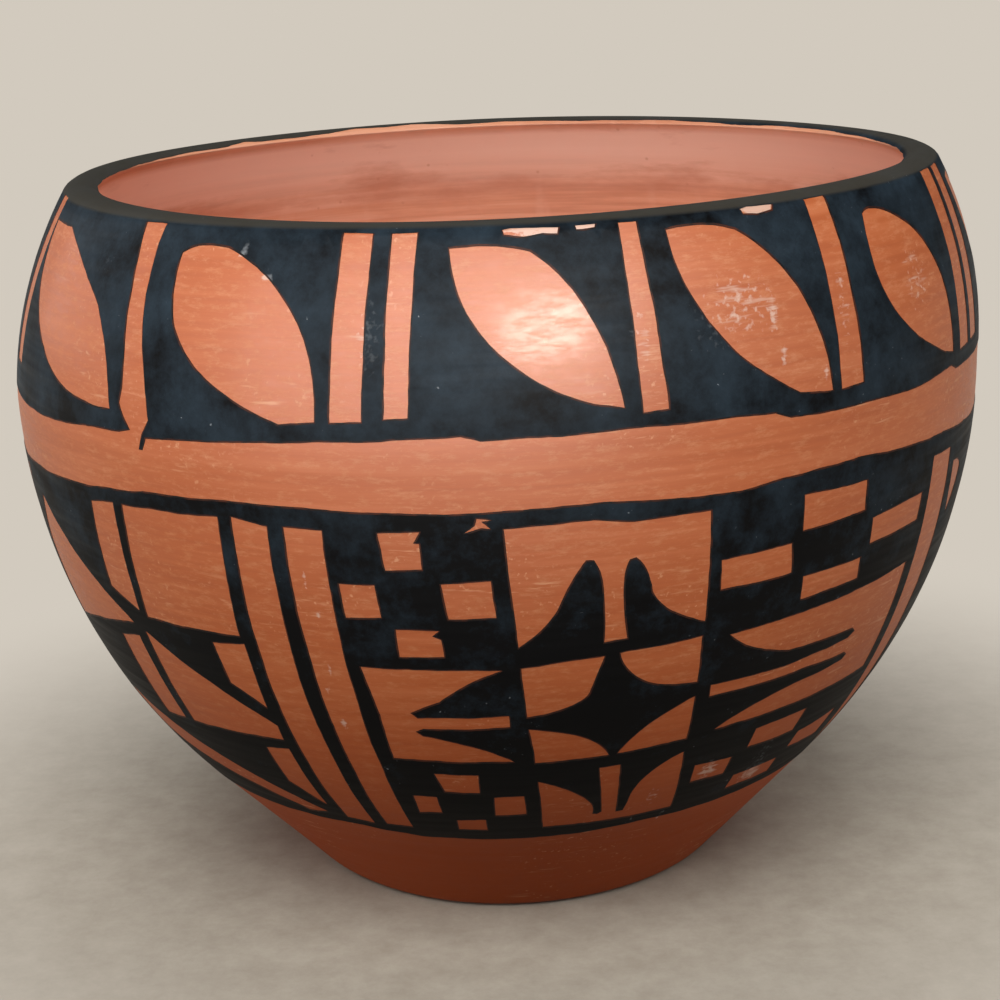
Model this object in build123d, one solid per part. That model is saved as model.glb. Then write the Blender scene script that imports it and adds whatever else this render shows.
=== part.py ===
from build123d import *
import os
from math import asin, atan2, cos, degrees, radians, sin, sqrt

# Clay wall: two arcs that share an upright tangent at the widest ring, above a straight slanting foot.
WIDEST_RADIUS = 95.0
WIDEST_HEIGHT = 102.0
SHOULDER_HEIGHT = 38.0
SHOULDER_ARC = 72.0
BASE_RADIUS = 42.9
FOOT_LENGTH = 33.7
WALL = 5.5
BASE_THICKNESS = 8.0
HEEL_ROUND = 5.0
FLOOR_ROUND = 10.0
LIP_CROWN = 1.3

# Coils: a pressed base pad, equal wall coils and a rim coil, each lapped down inside the one below.
BASE_PAD_HEIGHT = 18.0
RIM_COIL_HEIGHT = 12.0
WALL_COILS = 5
COIL_LAP = 5.0
LAP_RUN_OUT = 1.0

# Paint lies on the wall as a thin film, and the red slip shows through the windows left in it.
PAINT_THICKNESS = 0.25
PAINT_GAP = 0.03
FRIEZE_ABOVE_WIDEST = 4.0
BAND_BELOW_WIDEST = 6.5
BAND_ABOVE_FOOT = 0.5
PAINT_LINE = 2.0
FRAME_LINE = 3.0
LIP_LINE = 0.8

# Frieze of leaves and upright bars round the shoulder.
# Widths of the pattern are measured round the widest ring.
# Azimuths are in degrees: 0 is the front, and they grow rightwards.
LEAF_COUNT = 12
LEAF_AZIMUTHS = (-57.5, -28.5, 3.0, 27.0, 52.0)
LEAF_WIDTH = 31.5
LEAF_MARGIN_ABOVE = 4.0
LEAF_MARGIN_BELOW = 4.0
LEAF_BULGE = 4.5
FRIEZE_BAR = 5.5
FRIEZE_BAR_STEP = 9.3
DOUBLE_BAR_EVERY = 3
FIRST_DOUBLE_BAR = 1

# Band of panels round the belly: stars between pairs of bars, and diagonals that share what is left.
STAR_AZIMUTH = -17.0
STAR_SIDES = ((28.2, 54.7), (20.4, 20.4), (20.4, 20.4))
STAR_CENTRE = 35.6
BARS_WIDTH = 21.0
TOP_ROW = 23.0
BOTTOM_ROW = 18.0
BAND_BAR = 7.0
BAND_BAR_STEP = 10.1
CHECK_MARGIN = 0.8
STAR_WAIST = (5.0, 3.0)
PRONG_SLOT = 3.4
PRONG_TIP = 0.5
PRONG_REACH = 0.72
PRONG_HOLLOW = 0.3
DIAGONAL_STEM = 0.55

SHOULDER_CENTRE = (WIDEST_RADIUS - SHOULDER_ARC, WIDEST_HEIGHT)
# The belly arc is the one that runs from the widest ring into the foot without a corner.
FOOT_INSET = WIDEST_RADIUS - BASE_RADIUS
BELLY_ARC = (FOOT_INSET**2 + WIDEST_HEIGHT**2 - FOOT_LENGTH**2) / (2 * FOOT_INSET)
BELLY_CENTRE = (WIDEST_RADIUS - BELLY_ARC, WIDEST_HEIGHT)
FOOT_ANGLE = degrees(atan2(FOOT_LENGTH, BELLY_ARC) - atan2(WIDEST_HEIGHT, BELLY_ARC - FOOT_INSET))
FOOT_HEIGHT = WIDEST_HEIGHT + BELLY_ARC * sin(radians(FOOT_ANGLE))
LIP_EDGE_HEIGHT = WIDEST_HEIGHT + SHOULDER_HEIGHT - LIP_CROWN
FRIEZE_LOW = WIDEST_HEIGHT + FRIEZE_ABOVE_WIDEST
BAND_LOW = FOOT_HEIGHT + BAND_ABOVE_FOOT
BAND_HIGH = WIDEST_HEIGHT - BAND_BELOW_WIDEST
FULL_TURN = 360.0
QUARTER_TURN = FULL_TURN / 4


def arc_radius(centre, arc, height):
    """Radius at a height on an arc of the profile."""
    return centre[0] + sqrt(arc**2 - (height - centre[1]) ** 2)


def wall_radius(height, depth=0.0):
    """Radius of the wall at a height, at a depth below its outer face."""
    tangent_height = WIDEST_HEIGHT + (BELLY_ARC - depth) * sin(radians(FOOT_ANGLE))
    if height >= WIDEST_HEIGHT:
        return arc_radius(SHOULDER_CENTRE, SHOULDER_ARC - depth, height)
    if height >= tangent_height:
        return arc_radius(BELLY_CENTRE, BELLY_ARC - depth, height)
    tangent_radius = arc_radius(BELLY_CENTRE, BELLY_ARC - depth, tangent_height)
    return tangent_radius + (tangent_height - height) * sin(radians(FOOT_ANGLE)) / cos(radians(FOOT_ANGLE))


def wall_profile():
    """Half section of the whole vessel, in radius and height."""
    lip_rise = LIP_EDGE_HEIGHT - WIDEST_HEIGHT
    belly = CenterArc(BELLY_CENTRE, BELLY_ARC, FOOT_ANGLE, -FOOT_ANGLE)
    shoulder = CenterArc(SHOULDER_CENTRE, SHOULDER_ARC, 0, degrees(asin(lip_rise / SHOULDER_ARC)))
    inner_arc = SHOULDER_ARC - WALL
    inner_belly = CenterArc(BELLY_CENTRE, BELLY_ARC - WALL, FOOT_ANGLE, -FOOT_ANGLE)
    inner_shoulder = CenterArc(SHOULDER_CENTRE, inner_arc, 0, degrees(asin(lip_rise / inner_arc)))
    heel = (wall_radius(0), 0)
    floor_edge = (wall_radius(BASE_THICKNESS, WALL), BASE_THICKNESS)
    foot = Polyline((0, BASE_THICKNESS), (0, 0), heel, belly @ 0)
    crown = ((shoulder @ 1) + (inner_shoulder @ 1)) / 2 + Vector(0, LIP_CROWN)
    lip = ThreePointArc(shoulder @ 1, crown, inner_shoulder @ 1)
    floor = Polyline(inner_belly @ 0, floor_edge, (0, BASE_THICKNESS))
    profile = make_face(foot + belly + shoulder + lip + inner_shoulder + inner_belly + floor)
    profile = fillet(profile.vertices().sort_by_distance((*heel, 0))[:1], HEEL_ROUND)
    return fillet(profile.vertices().sort_by_distance((*floor_edge, 0))[:1], FLOOR_ROUND)


def below_joint(height):
    """Region under a lap joint that meets the outer face at a height and slants down through the wall."""
    outer = Vector(wall_radius(height), height)
    inner = Vector(wall_radius(height - COIL_LAP, WALL), height - COIL_LAP)
    run_out = (outer - inner).normalized() * LAP_RUN_OUT
    outer += run_out
    inner -= run_out
    reach = 2 * WIDEST_RADIUS
    corners = [(0, -reach), (reach, -reach), (reach, outer.Y), outer, inner, (0, inner.Y)]
    return make_face(Polyline(*corners, close=True))


def turned(profile):
    """Solid of a half section turned round the upright axis."""
    return revolve(Plane.XZ * profile, Axis.Z)


def coils():
    """The base pad, the wall coils from the bottom up and the rim coil, by name."""
    rim_joint = WIDEST_HEIGHT + SHOULDER_HEIGHT - RIM_COIL_HEIGHT
    coil_height = (rim_joint - BASE_PAD_HEIGHT) / WALL_COILS
    joints = [BASE_PAD_HEIGHT + coil_height * index for index in range(WALL_COILS + 1)]
    names = ["base_pad", *[f"wall_coil_{index + 1}" for index in range(WALL_COILS)], "rim_coil"]
    rest = wall_profile()
    shapes = {}
    for name, joint in zip(names, joints):
        region = below_joint(joint)
        shapes[name] = turned(rest & region)
        rest = rest - region
    shapes[names[-1]] = turned(rest)
    return shapes


def film_profile(centre, arc, start, end):
    """Half section of a paint film on an arc of the wall, between two angles about the arc's centre."""
    under = CenterArc(centre, arc + PAINT_GAP, start, end - start)
    over = CenterArc(centre, arc + PAINT_GAP + PAINT_THICKNESS, start, end - start)
    return make_face(under + over + Line(under @ 0, over @ 0) + Line(under @ 1, over @ 1))


def wall_film(centre, arc, low, high):
    """Paint film all round the wall, between two heights on one of its arcs."""
    start = degrees(asin((low - centre[1]) / arc))
    end = degrees(asin((high - centre[1]) / arc))
    return turned(film_profile(centre, arc, start, end))


def lip_film():
    """Paint film over the crown of the lip, from its outer to its inner edge."""
    outer = wall_radius(LIP_EDGE_HEIGHT)
    inner = wall_radius(LIP_EDGE_HEIGHT, WALL)
    half_width = (outer - inner) / 2
    arc = (half_width**2 + LIP_CROWN**2) / (2 * LIP_CROWN)
    spread = degrees(asin(half_width / arc))
    centre = (inner + half_width, LIP_EDGE_HEIGHT + LIP_CROWN - arc)
    return turned(film_profile(centre, arc, QUARTER_TURN - spread, QUARTER_TURN + spread))


def turn(width):
    """Angle, in degrees, that a width takes up round the widest ring."""
    return degrees(width / WIDEST_RADIUS)


def spot(offset_angle, height):
    """Point of the wall, seen square on from the azimuth that the offset is counted from."""
    return (wall_radius(height) * sin(radians(offset_angle)), height)


def window(azimuth, face):
    """Prism that cuts a painted outline through the film, straight out from the axis."""
    outward = Vector(sin(radians(azimuth)), -cos(radians(azimuth)))
    rightward = Vector(cos(radians(azimuth)), sin(radians(azimuth)))
    box = face.bounding_box()
    radii = [wall_radius(box.min.Y), wall_radius(box.max.Y)]
    half_width = max(-box.min.X, box.max.X)
    near = sqrt(min(radii) ** 2 - half_width**2) - WALL
    far = max(radii) + WALL
    return extrude(Plane(outward * near, rightward, outward) * face, far - near)


def patch(corners):
    """Window with straight edges, from the azimuth and height of each corner."""
    azimuths = [azimuth for azimuth, _ in corners]
    middle = (min(azimuths) + max(azimuths)) / 2
    outline = [spot(azimuth - middle, height) for azimuth, height in corners]
    return window(middle, make_face(Polyline(*outline, close=True)))


def box_patch(left, right, low, high):
    """Window between two azimuths and two heights."""
    return patch([(left, low), (right, low), (right, high), (left, high)])


def leaf(azimuth):
    """Leaf window: two arcs between its upper left and lower right points."""
    half = turn(LEAF_WIDTH) / 2
    low = FRIEZE_LOW + LEAF_MARGIN_BELOW
    high = LIP_EDGE_HEIGHT - LEAF_MARGIN_ABOVE
    tip = Vector(spot(-half, high))
    stem = Vector(spot(half, low))
    across = (stem - tip).normalized().rotate(Axis.Z, QUARTER_TURN) * LEAF_BULGE
    middle = (tip + stem) / 2
    return window(azimuth, make_face(ThreePointArc(tip, middle + across, stem)
                                     + ThreePointArc(stem, middle - across, tip)))


def frieze_windows():
    """Leaves round the shoulder, with one bar or a pair of bars between neighbours."""
    hidden = LEAF_COUNT - len(LEAF_AZIMUTHS) + 1
    gap = (FULL_TURN - LEAF_AZIMUTHS[-1] + LEAF_AZIMUTHS[0]) / hidden
    azimuths = [*LEAF_AZIMUTHS, *[LEAF_AZIMUTHS[-1] + gap * step for step in range(1, hidden)]]
    low = FRIEZE_LOW + LEAF_MARGIN_BELOW
    high = LIP_EDGE_HEIGHT - LIP_LINE
    half_bar = turn(FRIEZE_BAR) / 2
    half_step = turn(FRIEZE_BAR_STEP) / 2
    windows = []
    for index, azimuth in enumerate(azimuths):
        following = azimuths[index + 1] if index + 1 < LEAF_COUNT else azimuths[0] + FULL_TURN
        middle = (azimuth + following) / 2
        double = index % DOUBLE_BAR_EVERY == FIRST_DOUBLE_BAR
        centres = [middle - half_step, middle + half_step] if double else [middle]
        windows.append(leaf(azimuth))
        for bar in centres:
            windows.append(box_patch(bar - half_bar, bar + half_bar, low, high))
    return windows


def rows():
    """Low and high edge of the band's three rows of panels, from the bottom up."""
    low = BAND_LOW + FRAME_LINE
    high = BAND_HIGH - FRAME_LINE
    first = low + BOTTOM_ROW
    second = high - TOP_ROW
    return [(low, first), (first + PAINT_LINE, second - PAINT_LINE), (second, high)]


def bars_panel(left):
    """Pair of upright bars that runs the full height of the band."""
    low = rows()[0][0]
    high = rows()[-1][1]
    first = left + turn(BARS_WIDTH - BAND_BAR_STEP - BAND_BAR) / 2
    starts = [first, first + turn(BAND_BAR_STEP)]
    return [box_patch(start, start + turn(BAND_BAR), low, high) for start in starts]


def check_panel(left, right, low, high):
    """Four of nine checks, in the middle of each side."""
    width = (right - left) / 3
    height = (high - low) / 3
    side_margin = turn(CHECK_MARGIN)
    windows = []
    for column, row in ((1, 0), (0, 1), (2, 1), (1, 2)):
        cell_left = left + width * column
        cell_low = low + height * row
        windows.append(box_patch(cell_left + side_margin, cell_left + width - side_margin,
                                 cell_low + CHECK_MARGIN, cell_low + height - CHECK_MARGIN))
    return windows


def prong_panel(left, right, low, high, side):
    """Window with a pair of painted prongs that grow out of its bottom, top, left or right edge."""
    middle = (left + right) / 2
    left_x = spot(left - middle, (low + high) / 2)[0]
    width = -2 * left_x
    height = high - low
    root_span, reach = (width, height) if side in ("bottom", "top") else (height, width)

    def place(along, away):
        """Point at a distance along the root edge and away from it."""
        if side == "bottom":
            return (along, low + away)
        if side == "top":
            return (along, high - away)
        return (left_x + away if side == "left" else -left_x - away, (low + high) / 2 + along)

    panel = Pos(0, (low + high) / 2) * Rectangle(width, height)
    for sign in (-1, 1):
        slot = place(sign * PRONG_SLOT / 2, 0)
        slot_tip = place(sign * PRONG_SLOT / 2, PRONG_REACH * reach)
        tip = place(sign * (PRONG_SLOT / 2 + PRONG_TIP), PRONG_REACH * reach)
        hollow = place(sign * (PRONG_SLOT / 2 + PRONG_HOLLOW * root_span / 2), PRONG_HOLLOW * reach)
        root = place(sign * root_span / 2, 0)
        prong = Polyline(root, slot, slot_tip, tip) + ThreePointArc(tip, hollow, root)
        panel = panel - make_face(prong)
    return [window(middle, panel)]


def star_panel(left, right, low, high):
    """Four corner windows whose hollow edges leave a four-pointed star."""
    middle = (left + right) / 2
    level = (low + high) / 2
    half_width = spot(right - middle, level)[0]
    windows = []
    for across in (-1, 1):
        for up, edge in ((-1, low), (1, high)):
            side_point = (across * half_width, level + up * PAINT_LINE / 2)
            end_point = (across * PAINT_LINE / 2, edge)
            waist = (across * STAR_WAIST[0], level + up * STAR_WAIST[1])
            corner = (across * half_width, edge)
            outline = Polyline(side_point, corner, end_point) + ThreePointArc(end_point, waist, side_point)
            windows.append(window(middle, make_face(outline)))
    return windows


def star_block(left, left_width, right_width):
    """Three by three panels: a star, a pair of prongs on each side of it and checks in the corners."""
    line = turn(PAINT_LINE)
    centre_left = left + turn(left_width)
    centre_right = centre_left + turn(STAR_CENTRE)
    columns = [(left, centre_left - line), (centre_left, centre_right),
               (centre_right + line, centre_right + turn(right_width))]
    bottom, middle, top = rows()
    windows = []
    for column in (columns[0], columns[2]):
        windows += check_panel(*column, *bottom) + check_panel(*column, *top)
    windows += prong_panel(*columns[1], *top, "bottom") + prong_panel(*columns[1], *bottom, "top")
    windows += prong_panel(*columns[0], *middle, "right") + prong_panel(*columns[2], *middle, "left")
    return windows + star_panel(*columns[1], *middle)


def diagonal_panel(left, span):
    """Panel of strips and wedges on either side of two slanting lines."""
    right = left + span
    (bottom_low, bottom_high), (middle_low, middle_high), (top_low, top_high) = rows()
    strip = turn(BAND_BAR)
    stem = left + DIAGONAL_STEM * span
    line = turn(PAINT_LINE)
    slope = (middle_high - middle_low) / (right - stem)
    lean = slope * strip
    end = middle_low + FRAME_LINE
    return [
        box_patch(stem - strip - line, stem - line, top_low + lean, top_high),
        box_patch(stem + line, right, top_low, top_high),
        patch([(right - strip, middle_high), (right - strip, end + lean + FRAME_LINE),
               (right, end + FRAME_LINE), (right, middle_high)]),
        patch([(stem, middle_high - PAINT_LINE), (stem, middle_low), (right, middle_low), (right, end)]),
        box_patch(stem - strip - line, stem - line, middle_low, middle_high - PAINT_LINE),
        patch([(left, top_high - FRAME_LINE), (stem - strip, middle_high), (left, middle_low + FRAME_LINE)]),
        patch([(right - strip, bottom_high), (right - strip, bottom_low + 2 * lean),
               (right, bottom_low + lean), (right, bottom_high)]),
        patch([(left, bottom_high), (left + strip, bottom_high),
               (right, bottom_low), (right - 2 * strip, bottom_low)]),
    ]


def band_windows():
    """All windows of the band, panel by panel round the belly from the front star."""
    star_spans = [turn(sum(sides) + STAR_CENTRE) for sides in STAR_SIDES]
    bars_span = turn(BARS_WIDTH)
    diagonal_span = (FULL_TURN - sum(star_spans)) / len(STAR_SIDES) - 2 * bars_span
    azimuth = STAR_AZIMUTH
    windows = []
    for sides, star_span in zip(STAR_SIDES, star_spans):
        windows += star_block(azimuth, *sides)
        azimuth += star_span
        windows += bars_panel(azimuth)
        azimuth += bars_span
        windows += diagonal_panel(azimuth, diagonal_span)
        azimuth += diagonal_span
        windows += bars_panel(azimuth)
        azimuth += bars_span
    return windows


def paint():
    """The painted films, by name."""
    shoulder = wall_film(SHOULDER_CENTRE, SHOULDER_ARC, FRIEZE_LOW, LIP_EDGE_HEIGHT)
    band = wall_film(BELLY_CENTRE, BELLY_ARC, BAND_LOW, BAND_HIGH)
    return {
        "rim_paint": lip_film(),
        "shoulder_paint": shoulder - frieze_windows(),
        "band_paint": band - band_windows(),
    }


def main():
    """Builds every piece and writes one file for each."""
    os.makedirs("parts", exist_ok=True)
    for name, shape in {**coils(), **paint()}.items():
        export_step(shape, f"parts/{name}.step")


if __name__ == "__main__":
    main()
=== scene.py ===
"""Looks of a coil-built pueblo pottery jar: burnished red slip and bands of black paint, on a pale floor."""
import logging
from collections.abc import Callable, Iterable, Sequence
from dataclasses import dataclass, field
from enum import Enum
from math import ceil, cos, hypot, inf, pi, radians, sin
from typing import Any

import bpy
import numpy as np
from mathutils import Matrix, Vector, noise
from mathutils.geometry import delaunay_2d_cdt


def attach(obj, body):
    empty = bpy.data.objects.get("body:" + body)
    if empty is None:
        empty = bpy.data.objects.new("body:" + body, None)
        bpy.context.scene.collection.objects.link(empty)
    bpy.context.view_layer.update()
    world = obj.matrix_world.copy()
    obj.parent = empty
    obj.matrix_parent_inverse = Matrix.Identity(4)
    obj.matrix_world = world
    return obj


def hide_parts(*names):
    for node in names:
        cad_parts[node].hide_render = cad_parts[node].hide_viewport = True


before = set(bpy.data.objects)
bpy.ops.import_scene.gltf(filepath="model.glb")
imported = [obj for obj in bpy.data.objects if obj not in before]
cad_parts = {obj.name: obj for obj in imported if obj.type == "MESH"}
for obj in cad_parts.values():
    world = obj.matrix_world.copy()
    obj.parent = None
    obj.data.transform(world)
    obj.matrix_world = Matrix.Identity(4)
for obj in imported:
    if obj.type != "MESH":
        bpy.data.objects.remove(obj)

log = logging.getLogger("jar")

MM = 0.001
DEGREE = radians(1)
FULL_TURN = 360.0
NO_LENGTH = 1e-12
BODY = "root"
WEAR = "wear"

# What the flat fill of the outlines keeps, and the distance in millimetres at which two points become one.
INSIDE_OUTLINES = 1
SAME_SPOT = 0.0001

# Sockets of a node that mixes colours: its share, the colour below, the colour on top and the result.
SHARE, UNDER, OVER, MIXED = 0, 6, 7, 2

Spot = tuple[float, float]
Stroke = Spot | tuple[Spot, Spot]
Row = tuple[float, float, float]
Numbers = np.ndarray
Socket = bpy.types.NodeSocket


class Face(Enum):
    """Sides of a clay coil that show, by the material index they take."""

    OUTSIDE = 0
    INSIDE = 1


class Coat(Enum):
    """Parts of a paint film, by the material index they take."""

    FULL = 0
    THIN_EDGE = 1


class LampUse(Enum):
    """What a lamp is for."""

    LIGHT = "light"
    SHEEN = "sheen"


def linear(code: str) -> tuple[float, float, float, float]:
    """Linear colour of an sRGB hex code."""
    shares = [int(code[place:place + 2], 16) / 255 for place in (0, 2, 4)]
    red, green, blue = [s / 12.92 if s <= 0.04045 else ((s + 0.055) / 1.055) ** 2.4 for s in shares]
    return red, green, blue, 1.0


def per_mm(size: float) -> float:
    """Texture scale, per metre, of a pattern whose features are this many millimetres apart."""
    return 1 / (size * MM)


def wire(node: bpy.types.Node, inputs: dict[str | int, Any]) -> None:
    """Sets or links inputs of a node.

    Args:
        node: Node whose inputs are set.
        inputs: Value or linked output socket for each input, by name or index.
    """
    for socket, value in inputs.items():
        if isinstance(value, Socket):
            node.id_data.links.new(value, node.inputs[socket])
        else:
            node.inputs[socket].default_value = value


def add(tree: bpy.types.NodeTree, kind: str, inputs: dict[str | int, Any] | None = None,
        output: str | int = 0, **settings: Any) -> Socket:
    """Adds a shader node with its settings and links.

    Args:
        tree: Node tree that gets the node.
        kind: Node type, without the ShaderNode prefix.
        inputs: Value or linked output socket for each input, by name or index.
        output: Name or index of the output that is wanted.
        settings: Properties of the node, and stops for a ramp's positions and colours.

    Returns:
        The wanted output of the new node.
    """
    node = tree.nodes.new(f"ShaderNode{kind}")
    stops = settings.pop("stops", ())
    for name, value in settings.items():
        setattr(node, name, value)
    for index, (position, code) in enumerate(stops):
        elements = node.color_ramp.elements
        element = elements[index] if index < len(elements) else elements.new(position)
        element.position = position
        element.color = linear(code)
    wire(node, inputs or {})
    return node.outputs[output]


def start_finish(name: str) -> tuple[bpy.types.Material, bpy.types.Node, Socket]:
    """Starts the material of a finish.

    Args:
        name: Name of the material.

    Returns:
        The material, its shader and the place on the object that its patterns follow.
    """
    made = bpy.data.materials.new(name)
    made.use_nodes = True
    return made, made.node_tree.nodes["Principled BSDF"], add(made.node_tree, "TexCoord", output="Object")


def drawn_out(place: Socket, across: float, up: float, detail: float = 3.0, roughness: float = 0.5) -> Socket:
    """Uneven pattern that is drawn out level or upright, as strokes and runs are.

    Args:
        place: Place on the object.
        across: Size of a stroke round the jar, in millimetres.
        up: Its size up the wall, in millimetres.
        detail: Number of finer layers in the pattern.
        roughness: Strength of each finer layer.

    Returns:
        Strength of the pattern.
    """
    tree = place.id_data
    scale = (per_mm(across), per_mm(across), per_mm(up))
    drawn = add(tree, "Mapping", {"Vector": place, "Scale": scale})
    return add(tree, "TexNoise", {"Vector": drawn, "Scale": 1.0, "Detail": detail, "Roughness": roughness})


@dataclass(frozen=True)
class Span:
    """Stretch of a pattern's strength, or of height, over which a share goes from its start to its end."""

    low: float
    high: float
    start: float = 0.0
    end: float = 1.0

    def of(self, value: Socket, unit: float = 1.0) -> dict[int, Any]:
        """Inputs of a Map Range node that reads a value, with the stretch given in a unit."""
        return dict(enumerate((value, self.low * unit, self.high * unit, self.start, self.end)))


@dataclass(frozen=True)
class Wave:
    """Slow unevenness round the jar: its number of waves, phase in radians, share, and drift up the wall."""

    count: int
    phase: float
    share: float = 1.0
    drift: float = inf

    def at(self, azimuth: Numbers, height: Numbers) -> Numbers:
        """Strength at azimuths in radians and heights in millimetres."""
        return self.share * np.sin(self.count * azimuth + self.phase + height / self.drift)


@dataclass(frozen=True)
class WallForm:
    """Wall of the jar, in millimetres: its turned profile and the unevenness that hand work leaves in it.

    A run along the outer face is a height up to the lip's edge, and goes on over the crown of the lip.
    """

    widest_radius: float = 95.0
    widest_height: float = 102.0
    shoulder_arc: float = 72.0
    belly_arc: float = 115.0
    foot_height: float = 25.0
    thickness: float = 5.5
    lip_height: float = 138.7
    lip_crown: float = 1.3
    rim_lean: float = 2.4
    foot_lean: float = -0.5
    swell: float = 0.22
    swell_waves: tuple[Wave, ...] = (Wave(3, 0.8, drift=40.0), Wave(5, -1.3, 0.6, 23.0))
    rim_rise: float = 0.6
    rim_wave: float = 0.27
    rim_waves: tuple[Wave, ...] = (Wave(2, -0.79), Wave(1, -0.35, -1.0), Wave(3, -1.1, 0.8))
    foot_flat: float = 1.5
    foot_flat_azimuth: float = -0.9
    foot_flat_height: float = 45.0
    foot_flat_radius: float = 40.0
    foot_flat_power: int = 6
    fade_in: float = 0.2
    probe: float = 0.02

    @property
    def foot_angle(self) -> float:
        """Downward slant of the foot's outward normal, in radians."""
        return float(np.arcsin((self.foot_height - self.widest_height) / self.belly_arc))

    def radius(self, height: Numbers, depth: float = 0.0) -> Numbers:
        """Radius of the turned wall.

        Args:
            height: Heights above the base.
            depth: Depth below the outer face.

        Returns:
            Radii at those heights.
        """
        height = np.asarray(height, float)
        rise = height - self.widest_height
        shoulder = self.shoulder_arc - depth
        belly = self.belly_arc - depth
        tangent = belly * sin(self.foot_angle)
        upper = self.widest_radius - self.shoulder_arc + np.sqrt(np.maximum(shoulder**2 - rise**2, 0))
        lower = np.sqrt(np.maximum(belly**2 - np.maximum(rise, tangent) ** 2, 0))
        lower = self.widest_radius - self.belly_arc + lower
        lower = lower + np.maximum(tangent - rise, 0) * np.tan(self.foot_angle)
        return np.where(rise >= 0, upper, lower)

    def tilt(self, height: Numbers, depth: float = 0.0) -> Numbers:
        """Slant of the turned wall.

        Args:
            height: Heights above the base.
            depth: Depth below the outer face.

        Returns:
            Angles of the outward normal above the level, in radians.
        """
        rise = np.asarray(height, float) - self.widest_height
        upper = np.arcsin(np.clip(rise / (self.shoulder_arc - depth), -1, 1))
        lower = np.arcsin(np.clip(rise / (self.belly_arc - depth), -1, 1))
        return np.where(rise >= 0, upper, np.maximum(lower, self.foot_angle))

    @property
    def lip(self) -> tuple[float, float, float, float]:
        """Arc of the lip's crown.

        Returns:
            Radius and height of its centre, its radius and its half spread in radians.
        """
        outer = float(self.radius(self.lip_height))
        half = (outer - float(self.radius(self.lip_height, self.thickness))) / 2
        arc = (half**2 + self.lip_crown**2) / (2 * self.lip_crown)
        return outer - half, self.lip_height + self.lip_crown - arc, arc, float(np.arcsin(half / arc))

    @property
    def lip_run(self) -> float:
        """Length over the crown of the lip, from its outer to its inner edge."""
        return 2 * self.lip[2] * self.lip[3]

    def trace(self, run: Numbers) -> tuple[Numbers, Numbers, Numbers]:
        """Outer face of the wall, crown of the lip and inner face below it.

        Args:
            run: Runs along the face.

        Returns:
            Radius, height and angle of the outward normal above the level at each run.
        """
        run = np.asarray(run, float)
        centre, middle, arc, spread = self.lip
        over = np.clip(run - self.lip_height, 0, self.lip_run)
        inward = np.maximum(run - self.lip_height - self.lip_run, 0)
        crown = pi / 2 - spread + over / arc
        height = np.minimum(run, self.lip_height)
        on_lip = run > self.lip_height
        down = self.lip_height - inward
        radius = np.where(on_lip, centre + arc * np.cos(crown), self.radius(height))
        radius = np.where(inward > 0, self.radius(down, self.thickness), radius)
        level = np.where(on_lip, middle + arc * np.sin(crown), height)
        level = np.where(inward > 0, down, level)
        tilt = np.where(on_lip, crown, self.tilt(height))
        return radius, level, np.where(inward > 0, self.tilt(down, self.thickness) + pi, tilt)

    def above(self, height: Numbers) -> Numbers:
        """Share of the way from the widest ring to the lip, and none below it."""
        return np.clip((height - self.widest_height) / (self.lip_height - self.widest_height), 0, None)

    def lean(self, height: Numbers) -> Numbers:
        """How far the jar leans to the right at heights."""
        below = np.clip(1 - height / self.widest_height, 0, 1)
        return self.rim_lean * self.above(height) + self.foot_lean * below**2

    def placed(self, azimuth: Numbers, radius: Numbers, height: Numbers) -> Numbers:
        """Points of the wall as the hand left them, with its lean, swell, flattened foot and wavy rim.

        Args:
            azimuth: Azimuths in radians, from the front, growing rightwards.
            radius: Radii of the turned wall.
            height: Heights of the turned wall.

        Returns:
            Points in metres, one row each.
        """
        body = np.clip(height / self.foot_height - self.fade_in, 0, 1)
        lumps = sum(wave.at(azimuth, height) for wave in self.swell_waves)
        swollen = radius + self.swell * body * lumps * np.clip(radius / self.widest_radius, 0, 1)
        facing = np.clip(np.cos(azimuth - self.foot_flat_azimuth), 0, 1) ** self.foot_flat_power
        pressed = facing * np.clip(1 - height / self.foot_flat_height, 0, 1)
        outer = np.clip(radius / self.foot_flat_radius - self.fade_in, 0, 1)
        swollen = swollen - self.foot_flat * pressed * outer
        wave = sum(wave.at(azimuth, height) for wave in self.rim_waves)
        level = height + (self.rim_rise + self.rim_wave * wave) * self.above(height)**2
        right = swollen * np.sin(azimuth) + self.lean(height)
        return np.stack([right, -swollen * np.cos(azimuth), level], -1) * MM

    def normals(self, azimuth: Numbers, radius: Numbers, height: Numbers, tilt: Numbers) -> Numbers:
        """Outward normals of the hand-shaped wall.

        Args:
            azimuth: Azimuths in radians.
            radius: Radii of the turned wall.
            height: Heights of the turned wall.
            tilt: Angles of the turned wall's normal above the level.

        Returns:
            Unit normals, one row each.
        """
        step = self.probe
        around = step / self.widest_radius
        side = self.placed(azimuth + around, radius, height) - self.placed(azimuth - around, radius, height)
        along = (self.placed(azimuth, radius - step * np.sin(tilt), height + step * np.cos(tilt))
                 - self.placed(azimuth, radius + step * np.sin(tilt), height - step * np.cos(tilt)))
        normal = np.cross(side, along)
        return normal / np.maximum(np.linalg.norm(normal, axis=-1, keepdims=True), NO_LENGTH)


@dataclass(frozen=True)
class Mark:
    """Worn or scuffed place on the outside: its centre, and its reach in millimetres across and up."""

    azimuth: float
    height: float
    across: float
    up: float
    strength: float = 1.0


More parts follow.
